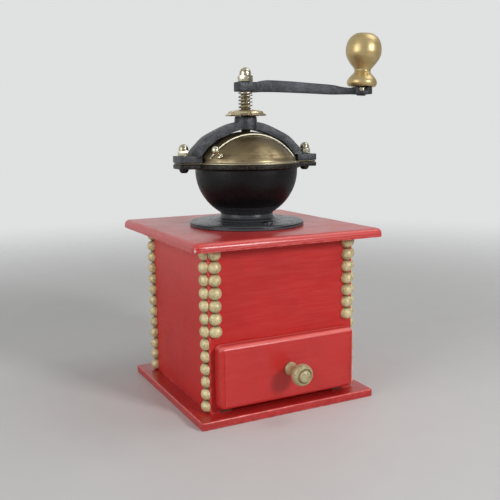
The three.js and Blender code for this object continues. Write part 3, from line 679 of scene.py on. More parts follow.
def gilding(name, joint_pitch=0.0, joint_top=0.0, dim=1.0):
    """Mottled pale gold paint; with a joint pitch in millimetres it is darker in the joints and on each
    bead's lower part, as painted shade.
    """
    colours = bpy.context.scene.grinder_colours
    finish = Finish(name)
    _, _, height = finish.axes()
    mottle = finish.noise(1.7, detail=4, roughness=0.65)
    blots = finish.noise(5.5, detail=2)
    specks = finish.fall(finish.specks(1.6), 0.14, 0.3)
    worn = finish.rise(mottle * 0.6 + blots * 0.4, 0.44, 0.66)
    gold = finish.mix(worn * 0.6, screen(colours.gilding, dim), screen(colours.gilding_shade, dim))
    gold = finish.mix(specks * 0.6, gold, screen(colours.gilding_shade, 0.5))
    if joint_pitch:
        # Painted shade: darker in the joints between the beads and over the lower part of each bead.
        turns = ((joint_top * MM - height) * (1 / (joint_pitch * MM))).maths("FRACT")
        joint = finish.rise((turns - 0.5).maths("ABSOLUTE"), 0.36, 0.5)
        joint = joint + finish.rise(turns, 0.62, 1.0) * 0.35
        gold = finish.mix(joint * 0.7, gold, screen(colours.gilding_shade, 0.5))
    normal = finish.bump(mottle + blots * 0.6 - specks * 0.3, 0.22)
    return finish.done(
        base_color=gold, metallic=0.25, roughness=0.38 + 0.22 * mottle, normal=normal, coat_weight=0.1
    )


def knob_gold():
    """Smooth gold paint on the turned crank knob, with faint turning rings."""
    colours = bpy.context.scene.grinder_colours
    finish = Finish("Knob Gold")
    rings = finish.noise(1.1, detail=3, stretch=(0.04, 0.04, 1.0))
    clouds = finish.noise(9, detail=3)
    fine = finish.noise(0.45, detail=2)
    shade = finish.rise(clouds * 0.7 + rings * 0.3, 0.42, 0.7)
    gold = finish.mix(shade * 0.45, screen(colours.knob_gold), screen(colours.gilding_shade, 1.05))
    normal = finish.bump(rings * 0.4 + fine * 0.25 + clouds, 0.08)
    return finish.done(
        base_color=gold, metallic=0.7, roughness=0.3 + 0.14 * clouds, normal=normal, coat_weight=0.05
    )


def black_enamel():
    """Glossy black on the hopper casting, with turning streaks that show on the flange as a painted
    reflection.
    """
    colours = bpy.context.scene.grinder_colours
    finish = Finish("Black Enamel")
    radius = finish.radius()
    _, _, height = finish.axes()
    around = finish.around(radius, height)
    streaks = finish.noise(0.9, detail=3, vector=around)
    dimples = finish.noise(1.8, detail=3)
    swells = finish.noise(9, detail=2)
    dusty = finish.rise(dimples * 0.5 + swells * 0.5, 0.42, 0.66)
    black = finish.mix(dusty * 0.25, screen(colours.enamel), screen(colours.graphite, 0.2))
    rim = finish.rise(height, 181.8 * MM, 182.6 * MM) * finish.rise(finish.noise(1.6, detail=3), 0.45, 0.62)
    black = finish.mix(rim * 0.6, black, screen(colours.dome_stain_and_shade, 0.5))
    # The flange and the neck are lightened along the turning streaks: a painted reflection.
    flange = finish.fall(height, 149 * MM, 155 * MM)
    black = finish.mix(flange * finish.rise(streaks, 0.4, 0.58) * 0.8, black, screen(colours.graphite, 1.6))
    normal = finish.bump(dimples * 0.5 + swells * 1.5 + streaks * (0.4 + flange), 0.16)
    gloss = 0.32 + 0.14 * dusty + 0.12 * streaks - flange * 0.16
    return finish.done(base_color=black, roughness=gloss, normal=normal, specular_ior_level=0.22)


def graphite_iron():
    """Grey-black sand casting, rubbed lighter on its high places."""
    colours = bpy.context.scene.grinder_colours
    finish = Finish("Graphite Iron")
    sand = finish.noise(0.8, detail=4, roughness=0.65)
    pits = finish.fall(finish.specks(2.1), 0.08, 0.26)
    swells = finish.noise(7, detail=3)
    rubbed = finish.rise(sand * 0.5 + swells * 0.5, 0.45, 0.62)
    iron = finish.mix(rubbed * 0.6, screen(colours.graphite, 0.62), screen(colours.graphite, 1.5))
    iron = finish.mix(pits * 0.5, iron, screen(colours.enamel))
    normal = finish.bump(sand * 0.9 + swells * 1.6 - pits * 0.5, 0.26)
    return finish.done(base_color=iron, metallic=0.6, roughness=0.34 + 0.2 * sand, normal=normal)


def aged_brass(name, rubbed_lit_edge=None):
    """Olive brass sheet with tarnish stains, painted shade and painted highlights; its second argument is
    the Y of its cut edge in millimetres.
    """
    colours = bpy.context.scene.grinder_colours
    finish = Finish(name)
    radius = finish.radius()
    _, y, height = finish.axes()
    around = finish.around(radius, height)
    lines = finish.noise(0.7, detail=3, vector=around)
    stains = finish.noise(13, detail=5, roughness=0.6, stretch=(1, 1, 1.5))
    mottle = finish.noise(2.4, detail=4, roughness=0.65)
    tarnish = finish.rise(stains * 0.75 + mottle * 0.25, 0.44, 0.62)
    dull = tarnish * 0.4 + finish.rise(lines, 0.35, 0.65) * 0.35
    brass = finish.mix(dull, screen(colours.dome), screen(colours.dome_stain_and_shade))
    # The dome darkens towards its top: painted shade.
    aloft = finish.rise(height + (stains - 0.5) * 0.014, 188.5 * MM, 198 * MM)
    brass = finish.mix(aloft * 0.7, brass, screen(colours.dome_stain_and_shade))
    # The skirt's foot and flange are paler: a painted highlight.
    foot = finish.fall(height, 186.4 * MM, 188.6 * MM)
    brass = finish.mix(foot * 0.5, brass, screen(colours.plating, 0.8))
    # The lugs, pressed between the hopper's ears and the bridge's feet, are darkened almost to black:
    # painted shade.
    lugs = finish.rise(radius, 43.2 * MM, 43.8 * MM)
    brass = finish.mix(lugs * 0.85, brass, screen(colours.dome_stain_and_shade, 0.3))
    gloss = 0.32 + 0.12 * tarnish + 0.08 * mottle
    if rubbed_lit_edge is not None:
        # The cut edge is paler: partly rubbed brass, partly a painted highlight.
        edge = finish.fall((y - rubbed_lit_edge * MM).maths("ABSOLUTE"), 0.15 * MM, 0.7 * MM)
        rubbed = edge * finish.rise(height, 190.0 * MM, 190.6 * MM)
        brass = finish.mix(rubbed * 0.9, brass, screen(colours.plating))
    normal = finish.bump(lines * 0.35 + stains * 2.2 + mottle * 0.15, 0.09)
    return finish.done(base_color=brass, metallic=0.95, roughness=gloss, normal=normal)


def metal(name, colour, dark, roughness, grain=1.2):
    """Plain metal with soft stains and fine scratches."""
    finish = Finish(name)
    stains = finish.noise(4 * grain, detail=4, roughness=0.6)
    fine = finish.noise(grain, detail=3)
    dull = finish.rise(stains, 0.42, 0.64)
    base = finish.mix(dull * 0.6, screen(colour), screen(dark))
    normal = finish.bump(fine * 0.4 + stains, 0.06)
    return finish.done(base_color=base, metallic=0.95, roughness=roughness + 0.14 * dull, normal=normal)


def thread_brass():
    """The screw in the spring: yellow metal with dark oil in its grooves."""
    colours = bpy.context.scene.grinder_colours
    finish = Finish("Screw Metal")
    radius = finish.radius()
    groove = finish.fall(radius, 3.5 * MM, 3.95 * MM)
    stains = finish.rise(finish.noise(3, detail=3), 0.4, 0.65)
    base = finish.mix(groove * 0.8, screen(colours.brass), screen(colours.dome_stain_and_shade, 0.45))
    base = finish.mix(stains * 0.35, base, screen(colours.dome_stain_and_shade))
    return finish.done(base_color=base, metallic=0.9, roughness=0.3 + 0.2 * stains)


def hand_board(name, low, high, corner, cuts):
    """A board as grids of faces, its four short corners rounded, from its lowest to its highest corner."""
    clear_selection()
    size = high - low
    bpy.ops.mesh.primitive_cube_add(size=1, location=(low + high) / 2 * MM, scale=size * MM)
    piece = bpy.context.object
    piece.name = name
    bpy.ops.object.transform_apply(location=True, rotation=True, scale=True)
    thin = min(range(3), key=lambda axis: size[axis])
    edit(piece, "EDGE")
    for axis in range(3):
        count = round(size[axis] / cuts)
        if axis != thin and count > 1:
            pick("edges", lambda e, axis=axis: along(e, axis))
            bpy.ops.mesh.subdivide(number_cuts=count - 1)
    if corner:
        wide = [axis for axis in range(3) if axis != thin]
        pick("edges", lambda e: along(e, thin) and at_corner(middle(e), low, high, wide))
        bpy.ops.mesh.bevel(offset=corner * MM, segments=5, affect="EDGES")
    close()
    return piece


class GRINDER_OT_wooden_box(bpy.types.Operator):
    """Builds base board, lid board and the four walls of the box, painted red"""

    bl_idname = "grinder.wooden_box"
    bl_label = "Wooden Box"
    bl_options = {"REGISTER", "UNDO"}

    def execute(self, context):
        sizes = context.scene.grinder_sizes
        self.boards(sizes)
        self.walls(sizes)
        return {"FINISHED"}

    def boards(self, sizes):
        """The two boards that stand proud of the box, with thick paint on their edges."""
        for node, edge, corner in (("base_board", sizes.base_edge, 1.4), ("top_board", sizes.lid_edge, 5.2)):
            low, high = span(node)
            piece = hand_board(node, low, high, corner, 4.6)
            lid = node == "top_board"
            edit(piece, "EDGE")
            pick("edges", lambda e, top=high.z: on_outline(e, 2, top))
            bpy.ops.mesh.bevel(offset=edge, segments=6, affect="EDGES")
            close()
            if lid:
                drill(piece, 22, low.z - 1, high.z + 1, 48)
            soften(piece, sizes.panel_edge / MM, 3)
            roughen(piece, sizes.paint_sag / MM, 9)
            ridges = (0.24, 0.52) if lid else ()
            # The crown lightens the boards' rounded top edges as a painted highlight.
            paint = red_paint(f"Red {node}", low, high, gloss=0.55, ridges=ridges, crown=edge / MM)
            settle(piece, paint, node)

    def walls(self, sizes):
        """The four walls, butted at the corners and bare inside."""
        low, _ = span("left_panel")
        _, high = span("right_panel")
        wall = span("left_panel")[1].x - low.x
        material = red_paint("Red Walls", low, high, wall)
        for node in ("left_panel", "right_panel", "back_panel", "front_panel"):
            piece = hand_board(node, *span(node), 0, 9)
            edit(piece, "EDGE")
            pick("edges", lambda e: along(e, 2) and at_corner(middle(e), low, high, (0, 1)))
            bpy.ops.mesh.bevel(offset=sizes.panel_edge, segments=4, affect="EDGES")
            close()
            roughen(piece, sizes.paint_sag / MM * 0.4, 14)
            settle(piece, material, node)


class GRINDER_OT_bead_strings(bpy.types.Operator):
    """Builds the eight strings of half-round beads beside the box's upright edges"""

    bl_idname = "grinder.bead_strings"
    bl_label = "Bead Strings"
    bl_options = {"REGISTER", "UNDO"}

    def string(self, count, pitch, radius):
        """A string of beads along Z from 0 up, round side towards -Y."""
        half, steps, fullness, waist, gap = pitch / 2, 10, 2.0, 0.97, 0.001
        outline = [(0, 0)]
        for i in range(count):
            swell = radius * (1 + 0.03 * math.sin(2.4 * i + 0.7))
            for step in range(steps + 1):
                height = 2 * step / steps - 1
                bulge = (1 - abs(height * waist) ** fullness) ** (1 / fullness)
                outline.append((swell * bulge, half + half * height * (1 - gap) + i * pitch))
        outline.append((0, count * pitch))
        return turned("beads", outline, 18, 180)

    def execute(self, context):
        sizes = context.scene.grinder_sizes
        bottom, top = span("beads_left_front")
        pitch = (top.z - bottom.z) / BEADS_HIGH
        material = gilding("Gilded Beads", pitch, top.z)
        radius = sizes.bead_radius / MM
        strings = {count: self.string(count, pitch, radius) for count in (BEADS_HIGH, BEADS_SHORT)}
        turns = {"front": 0, "right": 90, "back": 180, "left": -90}
        for node in [name for name in frame["nodes"] if name.startswith("beads_")]:
            low, high = span(node)
            face = node.split("_")[1]
            count = round((high.z - low.z) / pitch)
            flat = {
                "front": ((low.x + high.x) / 2, high.y),
                "back": ((low.x + high.x) / 2, low.y),
                "left": (high.x, (low.y + high.y) / 2),
                "right": (low.x, (low.y + high.y) / 2),
            }[face]
            piece = place(twin(strings[count]), spot(*flat, low.z, math.radians(turns[face])))
            roughen(piece, sizes.bead_dent / MM, 4.5)
            settle(piece, material, node, smooth=50)
        for piece in strings.values():
            bpy.data.objects.remove(piece)
        return {"FINISHED"}


class GRINDER_OT_drawer(bpy.types.Operator):
    """Builds the drawer front and its knob, and finishes the drawer's bare boards"""

    bl_idname = "grinder.drawer"
    bl_label = "Drawer"
    bl_options = {"REGISTER", "UNDO"}

    def execute(self, context):
        sizes = context.scene.grinder_sizes
        self.front(sizes)
        self.knob()
        wood = bare_wood()
        paint_nodes(wood, "drawer_left_side", "drawer_right_side", "drawer_back", "drawer_bottom")
        # The runners are darkened nearly to black: painted shade in the gap under the drawer front.
        paint_nodes(bare_wood("Runner Wood", 0.12), "left_runner", "right_runner")
        colours = context.scene.grinder_colours
        paint_nodes(metal("Screw Steel", colours.steel, colours.graphite, 0.35), "drawer_knob_screw")
        return {"FINISHED"}

    def front(self, sizes):
        """The drawer front: a rounded-over board whose field stands inside a fine groove."""
        low, high = span("drawer_front")
        piece = hand_board("drawer front", low, high, 3.9, 6)
        edit(piece, "EDGE")
        for depth, reach, segments in ((low.y, sizes.drawer_round, 6), (high.y, sizes.panel_edge, 3)):
            pick("edges", lambda e, depth=depth: on_outline(e, 1, depth))
            bpy.ops.mesh.bevel(offset=reach, segments=segments, affect="EDGES")
        bpy.ops.mesh.select_mode(type="FACE")
        pick("faces", lambda f: f.normal.y < -0.999 and abs(f.calc_center_median().y / MM - low.y) < SAME)
        groove = sizes.drawer_groove
        bpy.ops.mesh.inset(thickness=groove, depth=-groove * 0.8)
        bpy.ops.mesh.inset(thickness=groove, depth=groove)
        close()
        roughen(piece, sizes.paint_sag / MM * 0.45, 11)
        crown = sizes.drawer_round / MM
        # The drawer front's rounded top is lightened as a painted highlight.
        paint = red_paint("Red Drawer", low, high, gloss=0.3, crown=crown, rubbed=0.45)
        settle(piece, paint, "drawer_front")

    def knob(self):
        """The turned knob: foot, neck, and a head with a groove round its button."""
        low, high = span("drawer_knob")
        front = span("drawer_front")[0].y
        reach = front - low.y
        neck = flowing(
            [(5.0, 1.7), (4.3, 2.5), (3.6, 4.4), (3.5, 7.5), (4.4, 11.0)]
            + [(6.6, 13.6), (7.9, 15.4), (8.3, 17.2)],
            4,
        )
        head = flowing([(8.3, 17.2), (8.0, 19.3), (6.9, 20.9), (5.8, 21.4), (5.1, 20.3), (4.6, 20.6)], 4)
        button = flowing([(4.6, 20.6), (4.5, 22.4), (3.3, reach - 0.15), (0, reach)], 4)
        outline = [(0, 0.3), (4.7, 0.3), (5.1, 0.8), *neck, *head[1:], *button[1:]]
        piece = turned("drawer knob", outline, 64)
        centre = Vector((0, front, (low.z + high.z) / 2)) * MM
        place(piece, Matrix.Translation(centre) @ Matrix.Rotation(math.radians(90), 4, "X"))
        roughen(piece, 0.16, 3)
        settle(piece, gilding("Gilded Knob", dim=0.68), "drawer_knob")


def tongue(start, end, half):
    """The outline of an ear, a lug or a foot that reaches out along +X, with two rounded corners."""
    return eased([(start, -half), (end, -half, 2.4), (end, half, 2.4), (start, half)], 5)


class GRINDER_OT_hopper(bpy.types.Operator):
    """Builds the hopper casting with its flange, bowl, rim and two ears"""

    bl_idname = "grinder.hopper"
    bl_label = "Hopper Casting"
    bl_options = {"REGISTER", "UNDO"}

    def execute(self, context):
        low, high = span("hopper_bowl")
        lid = span("top_board")[1].z
        rim = high.z
        outside = eased(
            [(16.6, low.z), (20.5, low.z), (20.5, lid), (46.2, lid, 0.5), (46.2, lid + 3.0, 1.0)]
            + [(44.0, lid + 3.1, 0.6), (43.4, lid + 3.45, 0.4), (29.0, lid + 3.9, 3.0)]
            + [(21.2, lid + 6.0, 3.4), (21.1, lid + 9.6)],
            4,
        )
        top = eased(
            [(41.0, 180.4), (41.1, rim - 3.9, 0.6), (43.5, rim - 3.2, 0.5), (43.5, rim, 0.45)]
            + [(38.2, rim, 0.6), (38.0, 183.0)],
            3,
        )
        throat = [(14.6, 146), (14.6, 143.3), (16.6, 143.3), (16.6, low.z)]
        inside = [*self.bowl(3, 180, 149.2, 22), *throat]
        piece = turned("hopper", [*outside, *self.bowl(0, 146.2, 180, 28)[1:], *top, *inside])
        for side in (0, math.pi):
            ear = plate("ear", tongue(39.2, 58.0, 11.5), rim - 3.3, rim, 0.4, 3)
            combine(piece, place(ear, Matrix.Rotation(side, 4, "Z")))
            drill(piece, 2.8, rim - 6, rim + 1, 24, spot(EAR_REACH * math.cos(side), 0, 0))
        place(piece, Matrix.Rotation(MILL_TURN, 4, "Z"))
        settle(piece, black_enamel(), "hopper_bowl")
        return {"FINISHED"}

    def bowl(self, inset, low, high, steps):
        """The bowl's elliptical side between two heights, set inwards for its inside."""
        wide, tall, centre = 41 - inset, 39.6 - inset, 180
        start, end = (math.asin((z - centre) / tall) for z in (low, high))
        angles = [start + (end - start) * i / steps for i in range(steps + 1)]
        return [(wide * math.cos(a), centre + tall * math.sin(a)) for a in angles]


class GRINDER_OT_dome_cover(bpy.types.Operator):
    """Builds the brass dome: its fixed shell, the sliding door and the door's knob"""

    bl_idname = "grinder.dome_cover"
    bl_label = "Dome Cover"
    bl_options = {"REGISTER", "UNDO"}

    centre = 161.7
    skirt_top = 190.0
    cut_y = -12.8

    def sphere(self, radius, low, high, steps):
        """An arc of the dome between two heights."""
        start, end = (math.degrees(math.asin((z - self.centre) / radius)) for z in (low, high))
        return arc(0, self.centre, radius, start, end, steps)

    def execute(self, context):
        self.shell()
        self.door()
        self.knob(context.scene.grinder_colours)
        return {"FINISHED"}

    def shell(self):
        """Skirt, flange and fixed half of the dome, cut straight across in front."""
        low, high = span("dome_cover")
        outer, sheet, skirt = 48.7, 0.8, 39.6
        bottom = low.z
        foot = eased(
            [(skirt - sheet, bottom), (43.0, bottom, 0.3), (43.0, bottom + 1.0, 0.45)]
            + [(skirt + 0.6, bottom + 1.0, 0.5), (skirt, bottom + 2.2, 0.6), (skirt, self.skirt_top - 0.2)],
            4,
        )
        over = self.sphere(outer, self.skirt_top, high.z - 0.02, 40)
        under = self.sphere(outer - sheet, high.z - 0.85, self.skirt_top, 40)
        piece = turned("dome", [*foot, *over, *under, foot[0]])
        clear_selection()
        bpy.ops.mesh.primitive_cube_add(size=1, location=(0, 0, 0))
        front = bpy.context.object
        box_low = Vector((-60, -60, self.skirt_top + 0.2))
        box_high = Vector((60, self.cut_y, high.z + 5))
        size = (box_high - box_low) * MM
        place(front, Matrix.Translation((box_low + box_high) / 2 * MM) @ Matrix.Diagonal((*size, 1)))
        combine(piece, front, "DIFFERENCE")
        for side in (0, math.pi):
            lug = plate("lug", tongue(40.8, 57.5, 10.9), bottom, bottom + 1.0, 0.2)
            combine(piece, place(lug, Matrix.Rotation(side + MILL_TURN, 4, "Z")))
        settle(piece, aged_brass("Dome Brass", self.cut_y), "dome_cover", smooth=30)

    def door(self):
        """The door slides round under the shell: a sector of a slightly smaller dome on a hub ring."""
        low, high = span("cover_door")
        outer, sheet = 47.5, 0.7
        foot = [(37.2, low.z), (37.9, low.z), (37.9, low.z + 1.6), (37.95, low.z + 2.2)]
        top = high.z - 0.02
        over = self.sphere(outer, low.z + 2.6, top, 40)
        under = self.sphere(outer - sheet, top - 0.72, low.z + 2.3, 40)
        piece = turned("door", [*foot, *over, *under, foot[0]])
        wide = arc(0, 0, 60, -17, 197, 20)
        hub = arc(0, 0, 10, 197, -17, 20)
        away = plate("away", [*wide, *hub], low.z - 4, high.z + 4)
        combine(piece, away, "DIFFERENCE")
        settle(piece, aged_brass("Door Brass"), "cover_door", smooth=30)

    def knob(self, colours):
        """The door's small turned knob, square to the dome."""
        azimuth, elevation, radius = math.radians(211), math.radians(39.5), 47.5
        outline = [(0, -0.9), (1.8, -0.9), (1.8, -0.7), (1.1, -0.6), (1.1, 0.2), (2.3, 0.3)]
        neck = [(2.3, 0.3), (2.2, 0.9), (1.3, 1.5), (1.0, 2.8), (1.0, 3.9), (1.5, 5.0)]
        outline += flowing(neck, 3)[1:]
        outline += arc(0, 7.5, 3.1, -57, 90, 14)
        piece = turned("door knob", outline, 32)
        level = radius * math.cos(elevation)
        height = self.centre + radius * math.sin(elevation)
        foot = Vector((level * math.cos(azimuth), level * math.sin(azimuth), height))
        lean = Matrix.Rotation(azimuth, 4, "Z") @ Matrix.Rotation(math.pi / 2 - elevation, 4, "Y")
        place(piece, Matrix.Translation(foot * MM) @ lean)
        settle(piece, metal("Knob Brass", colours.plating, colours.brass, 0.16), "cover_knob")


class GRINDER_OT_bridge(bpy.types.Operator):
    """Builds the cast bridge over the dome, with its boss and feet"""

    bl_idname = "grinder.bridge"
    bl_label = "Bridge"
    bl_options = {"REGISTER", "UNDO"}

    def execute(self, context):
        low, high = span("bridge")
        foot_bottom, foot_top, boss_bottom, boss_top = low.z, 191.9, 211.6, high.z
        under = flowing(
            [(42, foot_bottom), (39.6, 191.7), (38, 193.8), (34, 198.3), (30, 201.8), (25, 204.7)]
            + [(19, 207.2), (14, 209.4), (7.5, 211.4)],
            4,
        )
        over = flowing(
            [(47, foot_bottom), (46.8, 191.9), (46.2, 193.5), (44.8, 196.8), (41.2, 200.4), (37, 204.6)]
            + [(32.5, 207.8), (24, 212), (18.5, 214.5), (13.3, 216.4), (8, 217.6)],
            4,
        )
        left_under = [(-x, z) for x, z in reversed(under)]
        left_over = [(-x, z) for x, z in over]
        piece = plate("bridge", [*under, *left_under, *left_over, *reversed(over)], -7, 7)
        place(piece, Matrix.Rotation(math.radians(90), 4, "X"))
        boss = [(0, boss_bottom), (9.4, boss_bottom, 0.8), (9.35, 215.9, 1.2)]
        boss += [(8.7, boss_top - 0.2, 1.1), (0, boss_top)]
        combine(piece, turned("boss", eased(boss, 4), 64))
        for side in (0, math.pi):
            foot = plate("foot", tongue(40.6, 58.0, 11.5), foot_bottom, foot_top)
            combine(piece, place(foot, Matrix.Rotation(side, 4, "Z")))
        soften(piece, 0.6, 3, 35)
        drill(piece, 4.3, 205, 230, 32)
        place(piece, Matrix.Rotation(MILL_TURN, 4, "Z"))
        settle(piece, graphite_iron(), "bridge", smooth=45)
        return {"FINISHED"}


def cap_nut(name, corner, hex_height, dome, height):
    """A hexagon nut with a chamfer and a domed cap, standing on z = 0."""
    piece = plate(name, arc(0, 0, corner, 0, 300, 5), 0, hex_height)
    cone = turned(
        "cone",
        [(0, -1), (corner + 2, -1), (corner + 2, hex_height - 1.5), (dome, hex_height), (0, hex_height)],
        64,
    )
    combine(piece, cone, "INTERSECT")
    soften(piece, 0.12, 2, 25)
    crown = turned(
        "crown",
        [(0, hex_height - 1), (dome, hex_height - 1), (dome, height - dome)]
        + arc(0, height - dome, dome, 0, 90, 12)[1:],
        48,
    )
    return combine(piece, crown)


class GRINDER_OT_ear_bolts(bpy.types.Operator):
    """Builds the bolts whose heads sit under the ears and the cap nuts on the bridge's feet"""

    bl_idname = "grinder.ear_bolts"
    bl_label = "Ear Bolts"
    bl_options = {"REGISTER", "UNDO"}

    def execute(self, context):
        colours = context.scene.grinder_colours
        plating = metal("Pale Plating", colours.plating, colours.dome_stain_and_shade, 0.18, 0.8)
        steel = metal("Bolt Steel", colours.graphite, colours.enamel, 0.35)
        for hand, side, turn in (("left", -1, 8), ("right", 1, -10)):
            where = Matrix.Rotation(MILL_TURN, 4, "Z") @ spot(EAR_REACH * side, 0, 0)
            low, high = span(f"ear_bolt_{hand}")
            seat = low.z + 2.9
            head = [(0, low.z), (2.2, low.z, 0.5), (3.4, low.z + 1.3, 0.6), (3.8, seat, 0.3)]
            rod = [(2.5, seat), (2.5, high.z - 0.5), (2.0, high.z), (0, high.z)]
            bolt = turned("bolt", eased([*head, *rod], 4), 40)
            settle(place(bolt, where), steel, f"ear_bolt_{hand}", smooth=30)
            foot = span(f"ear_nut_{hand}")[0].z
            nut = place(cap_nut("nut", 4.9, 4, 3.8, 9), where @ spot(0, 0, foot, math.radians(turn)))
            settle(nut, plating, f"ear_nut_{hand}", smooth=30)
        return {"FINISHED"}


class GRINDER_OT_flange_screws(bpy.types.Operator):
    """Builds the three slotted screws in the hopper's flange; two lie flush under the enamel"""

    bl_idname = "grinder.flange_screws"
    bl_label = "Flange Screws"
    bl_options = {"REGISTER", "UNDO"}

    def execute(self, context):
        colours = context.scene.grinder_colours
        steel = metal("Dark Screw", colours.graphite, colours.enamel, 0.4)
        enamel = bpy.data.materials["Black Enamel"]
        head = [(0, 2.4), (2.2, 2.3, 0.6), (3.6, 0.9, 0.5), (3.6, 0)]
        shank = [(1.6, 0), (1.6, -8), (0, -9.5)]
        screw = turned("screw", eased([*head, *shank], 4), 40)
        slot = plate("slot", oblong(5, 0.45), 1.2, 4)
        combine(screw, slot, "DIFFERENCE")
        for i in range(3):
            node = f"flange_screw_{i + 1}"
            low, high = span(node)
            centre = (low + high) / 2
            seen = centre.x > 0 > centre.y
            depth = 2.4 if seen else 4.3
            turn = math.radians(40 + 35 * i)
            piece = place(twin(screw), spot(centre.x, centre.y, high.z - depth, turn))
            settle(piece, steel if seen else enamel, node, smooth=30)
        bpy.data.objects.remove(screw)
        return {"FINISHED"}


class GRINDER_OT_adjusting_wheel(bpy.types.Operator):
    """Builds the hexagonal adjusting wheel of bent brass sheet with its six flared tabs"""

    bl_idname = "grinder.adjusting_wheel"
    bl_label = "Adjusting Wheel"
    bl_options = {"REGISTER", "UNDO"}

    def execute(self, context):
        colours = context.scene.grinder_colours
        low, high = span("adjusting_wheel")
        top = high.z
        outside = [(6.2, top), (13.6, top - 1.3), (14.3, top - 1.7), (14.7, top - 2.5), (15.4, top - 3.2)]
        outside += [(16.5, top - 3.8), (17.4, top - 4.3)]
        inside = [(16.8, top - 5.0), (15.3, top - 4.3), (14.1, top - 3.6)]
        inside += [(13.4, top - 2.8), (6.2, top - 1.4)]
        wheel = turned("wheel", [(4.3, top), *outside, *inside, (4.3, top - 1.4), (4.3, top)], 6)
        for i in range(6):
            slit = plate("slit", [(13, -0.4), (19, -1.1), (19, 1.1), (13, 0.4)], top - 6, top - 1.2)
            place(slit, Matrix.Rotation(math.radians(60 * i), 4, "Z"))
            combine(wheel, slit, "DIFFERENCE")
        soften(wheel, 0.25, 2, 25)
        drill(wheel, 4.6, top - 3, top + 1, 48)
        collar = [(4.3, low.z), (7, low.z, 0.3), (7, top - 0.6), (4.3, top, 0.3), (4.3, low.z)]
        combine(wheel, turned("collar", eased(collar), 48))
        place(wheel, Matrix.Rotation(math.radians(19.5), 4, "Z"))
        brass = metal("Wheel Brass", colours.brass, colours.dome_stain_and_shade, 0.26, 0.9)
        settle(wheel, brass, "adjusting_wheel", smooth=32)
        return {"FINISHED"}


class GRINDER_OT_shaft(bpy.types.Operator):
    """Builds the threaded shaft, its washer and the compression spring round it"""

    bl_idname = "grinder.shaft"
    bl_label = "Shaft and Spring"
    bl_options = {"REGISTER", "UNDO"}

    def execute(self, context):
        sizes = context.scene.grinder_sizes
        colours = context.scene.grinder_colours
        self.shaft(sizes)
        steel = metal("Spring Steel", colours.steel, colours.dome_stain_and_shade, 0.28, 0.8)
        low, high = span("crank_washer")
        washer = ring("washer", 4.3, 5.5, low.z, high.z, 0.4, 4)
        settle(washer, steel, "crank_washer")
        self.spring(sizes, steel)
        return {"FINISHED"}

    def thread(self, low, high, pitch, depth):
        """A rod with a real helical thread: one tooth turned and raised by its pitch at each turn."""
        outer = 4.0
        tooth = [(outer - depth, 0, low), (outer, 0, low + pitch / 2), (outer - depth, 0, low + pitch)]
        piece = start_line("thread", tooth)
        bpy.ops.object.mode_set(mode="OBJECT")
        turns = int((high - low) / pitch) - 1
        apply_modifier(
            piece,
            "SCREW",
            screw_offset=pitch * MM,
            iterations=turns,
            steps=32,
            render_steps=32,
            use_merge_vertices=True,
            merge_threshold=0.001 * MM,
        )
        for end, level in ((-1, low - 0.5), (1, high)):
            edit(piece, "EDGE")
            pick_rim(end, (low + high) / 2)
            bpy.ops.mesh.extrude_region_move(TRANSFORM_OT_translate={"value": (0, 0, 0)})
            centre = Vector((0, 0, level * MM))
            bpy.ops.transform.resize(value=(0.86, 0.86, 0), center_override=centre)
            bpy.ops.mesh.edge_face_add()
            bpy.ops.object.mode_set(mode="OBJECT")
        edit(piece)
        close()
        return piece

    def shaft(self, sizes):
        """The shaft: journal below, plain in the mill, thread through the wheel, square in the hub."""
        low, high = span("shaft")
        hub = span("crank_arm")[0].z + 0.4
        journal, plain = 117.6, 206
        lower = [(0, low.z), (2.6, low.z), (3, low.z + 0.4), (3, journal)]
        lower += [(3.9, journal), (3.9, plain), (0, plain)]
        piece = turned("shaft", lower, 40)
        thread = self.thread(205.5, hub - 0.2, sizes.thread_pitch / MM, sizes.thread_depth / MM)
        flats = plate("flats", oblong(3.1, 3.1), hub - 0.4, high.z - 5.4, 0.2)
        stem = [(0, hub), (2.9, hub), (2.9, high.z - 0.5), (2.4, high.z), (0, high.z)]
        gather([piece, thread, flats, turned("stem", stem, 32)])
        settle(piece, thread_brass(), "shaft", smooth=50)

    def spring(self, sizes, steel):
        """Four curls of wire, which stretch between the wheel's side and the crank's."""
        low, high = span("spring")
        wire = sizes.wire / MM
        radius = high.x - wire / 2
        turns = 4
        clear_selection()
        bpy.ops.mesh.primitive_circle_add(
            vertices=14,
            radius=wire / 2 * MM,
            location=(radius * MM, 0, (low.z + wire / 2) * MM),
            rotation=(math.pi / 2, 0, 0),
        )
        piece = bpy.context.object
        bpy.ops.object.transform_apply(location=True, rotation=True, scale=True)
        apply_modifier(
            piece,
            "SCREW",
            screw_offset=(high.z - low.z - wire) / turns * MM,
            iterations=turns,
            steps=48,
            render_steps=48,
            use_merge_vertices=False,
        )
        edit(piece, "EDGE")
        for end in (-1, 1):
            pick_rim(end, (low.z + high.z) / 2)
            bpy.ops.mesh.edge_face_add()
        close()
        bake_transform(piece)
        dress(piece, steel, "spring", 50)
        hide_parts("spring")


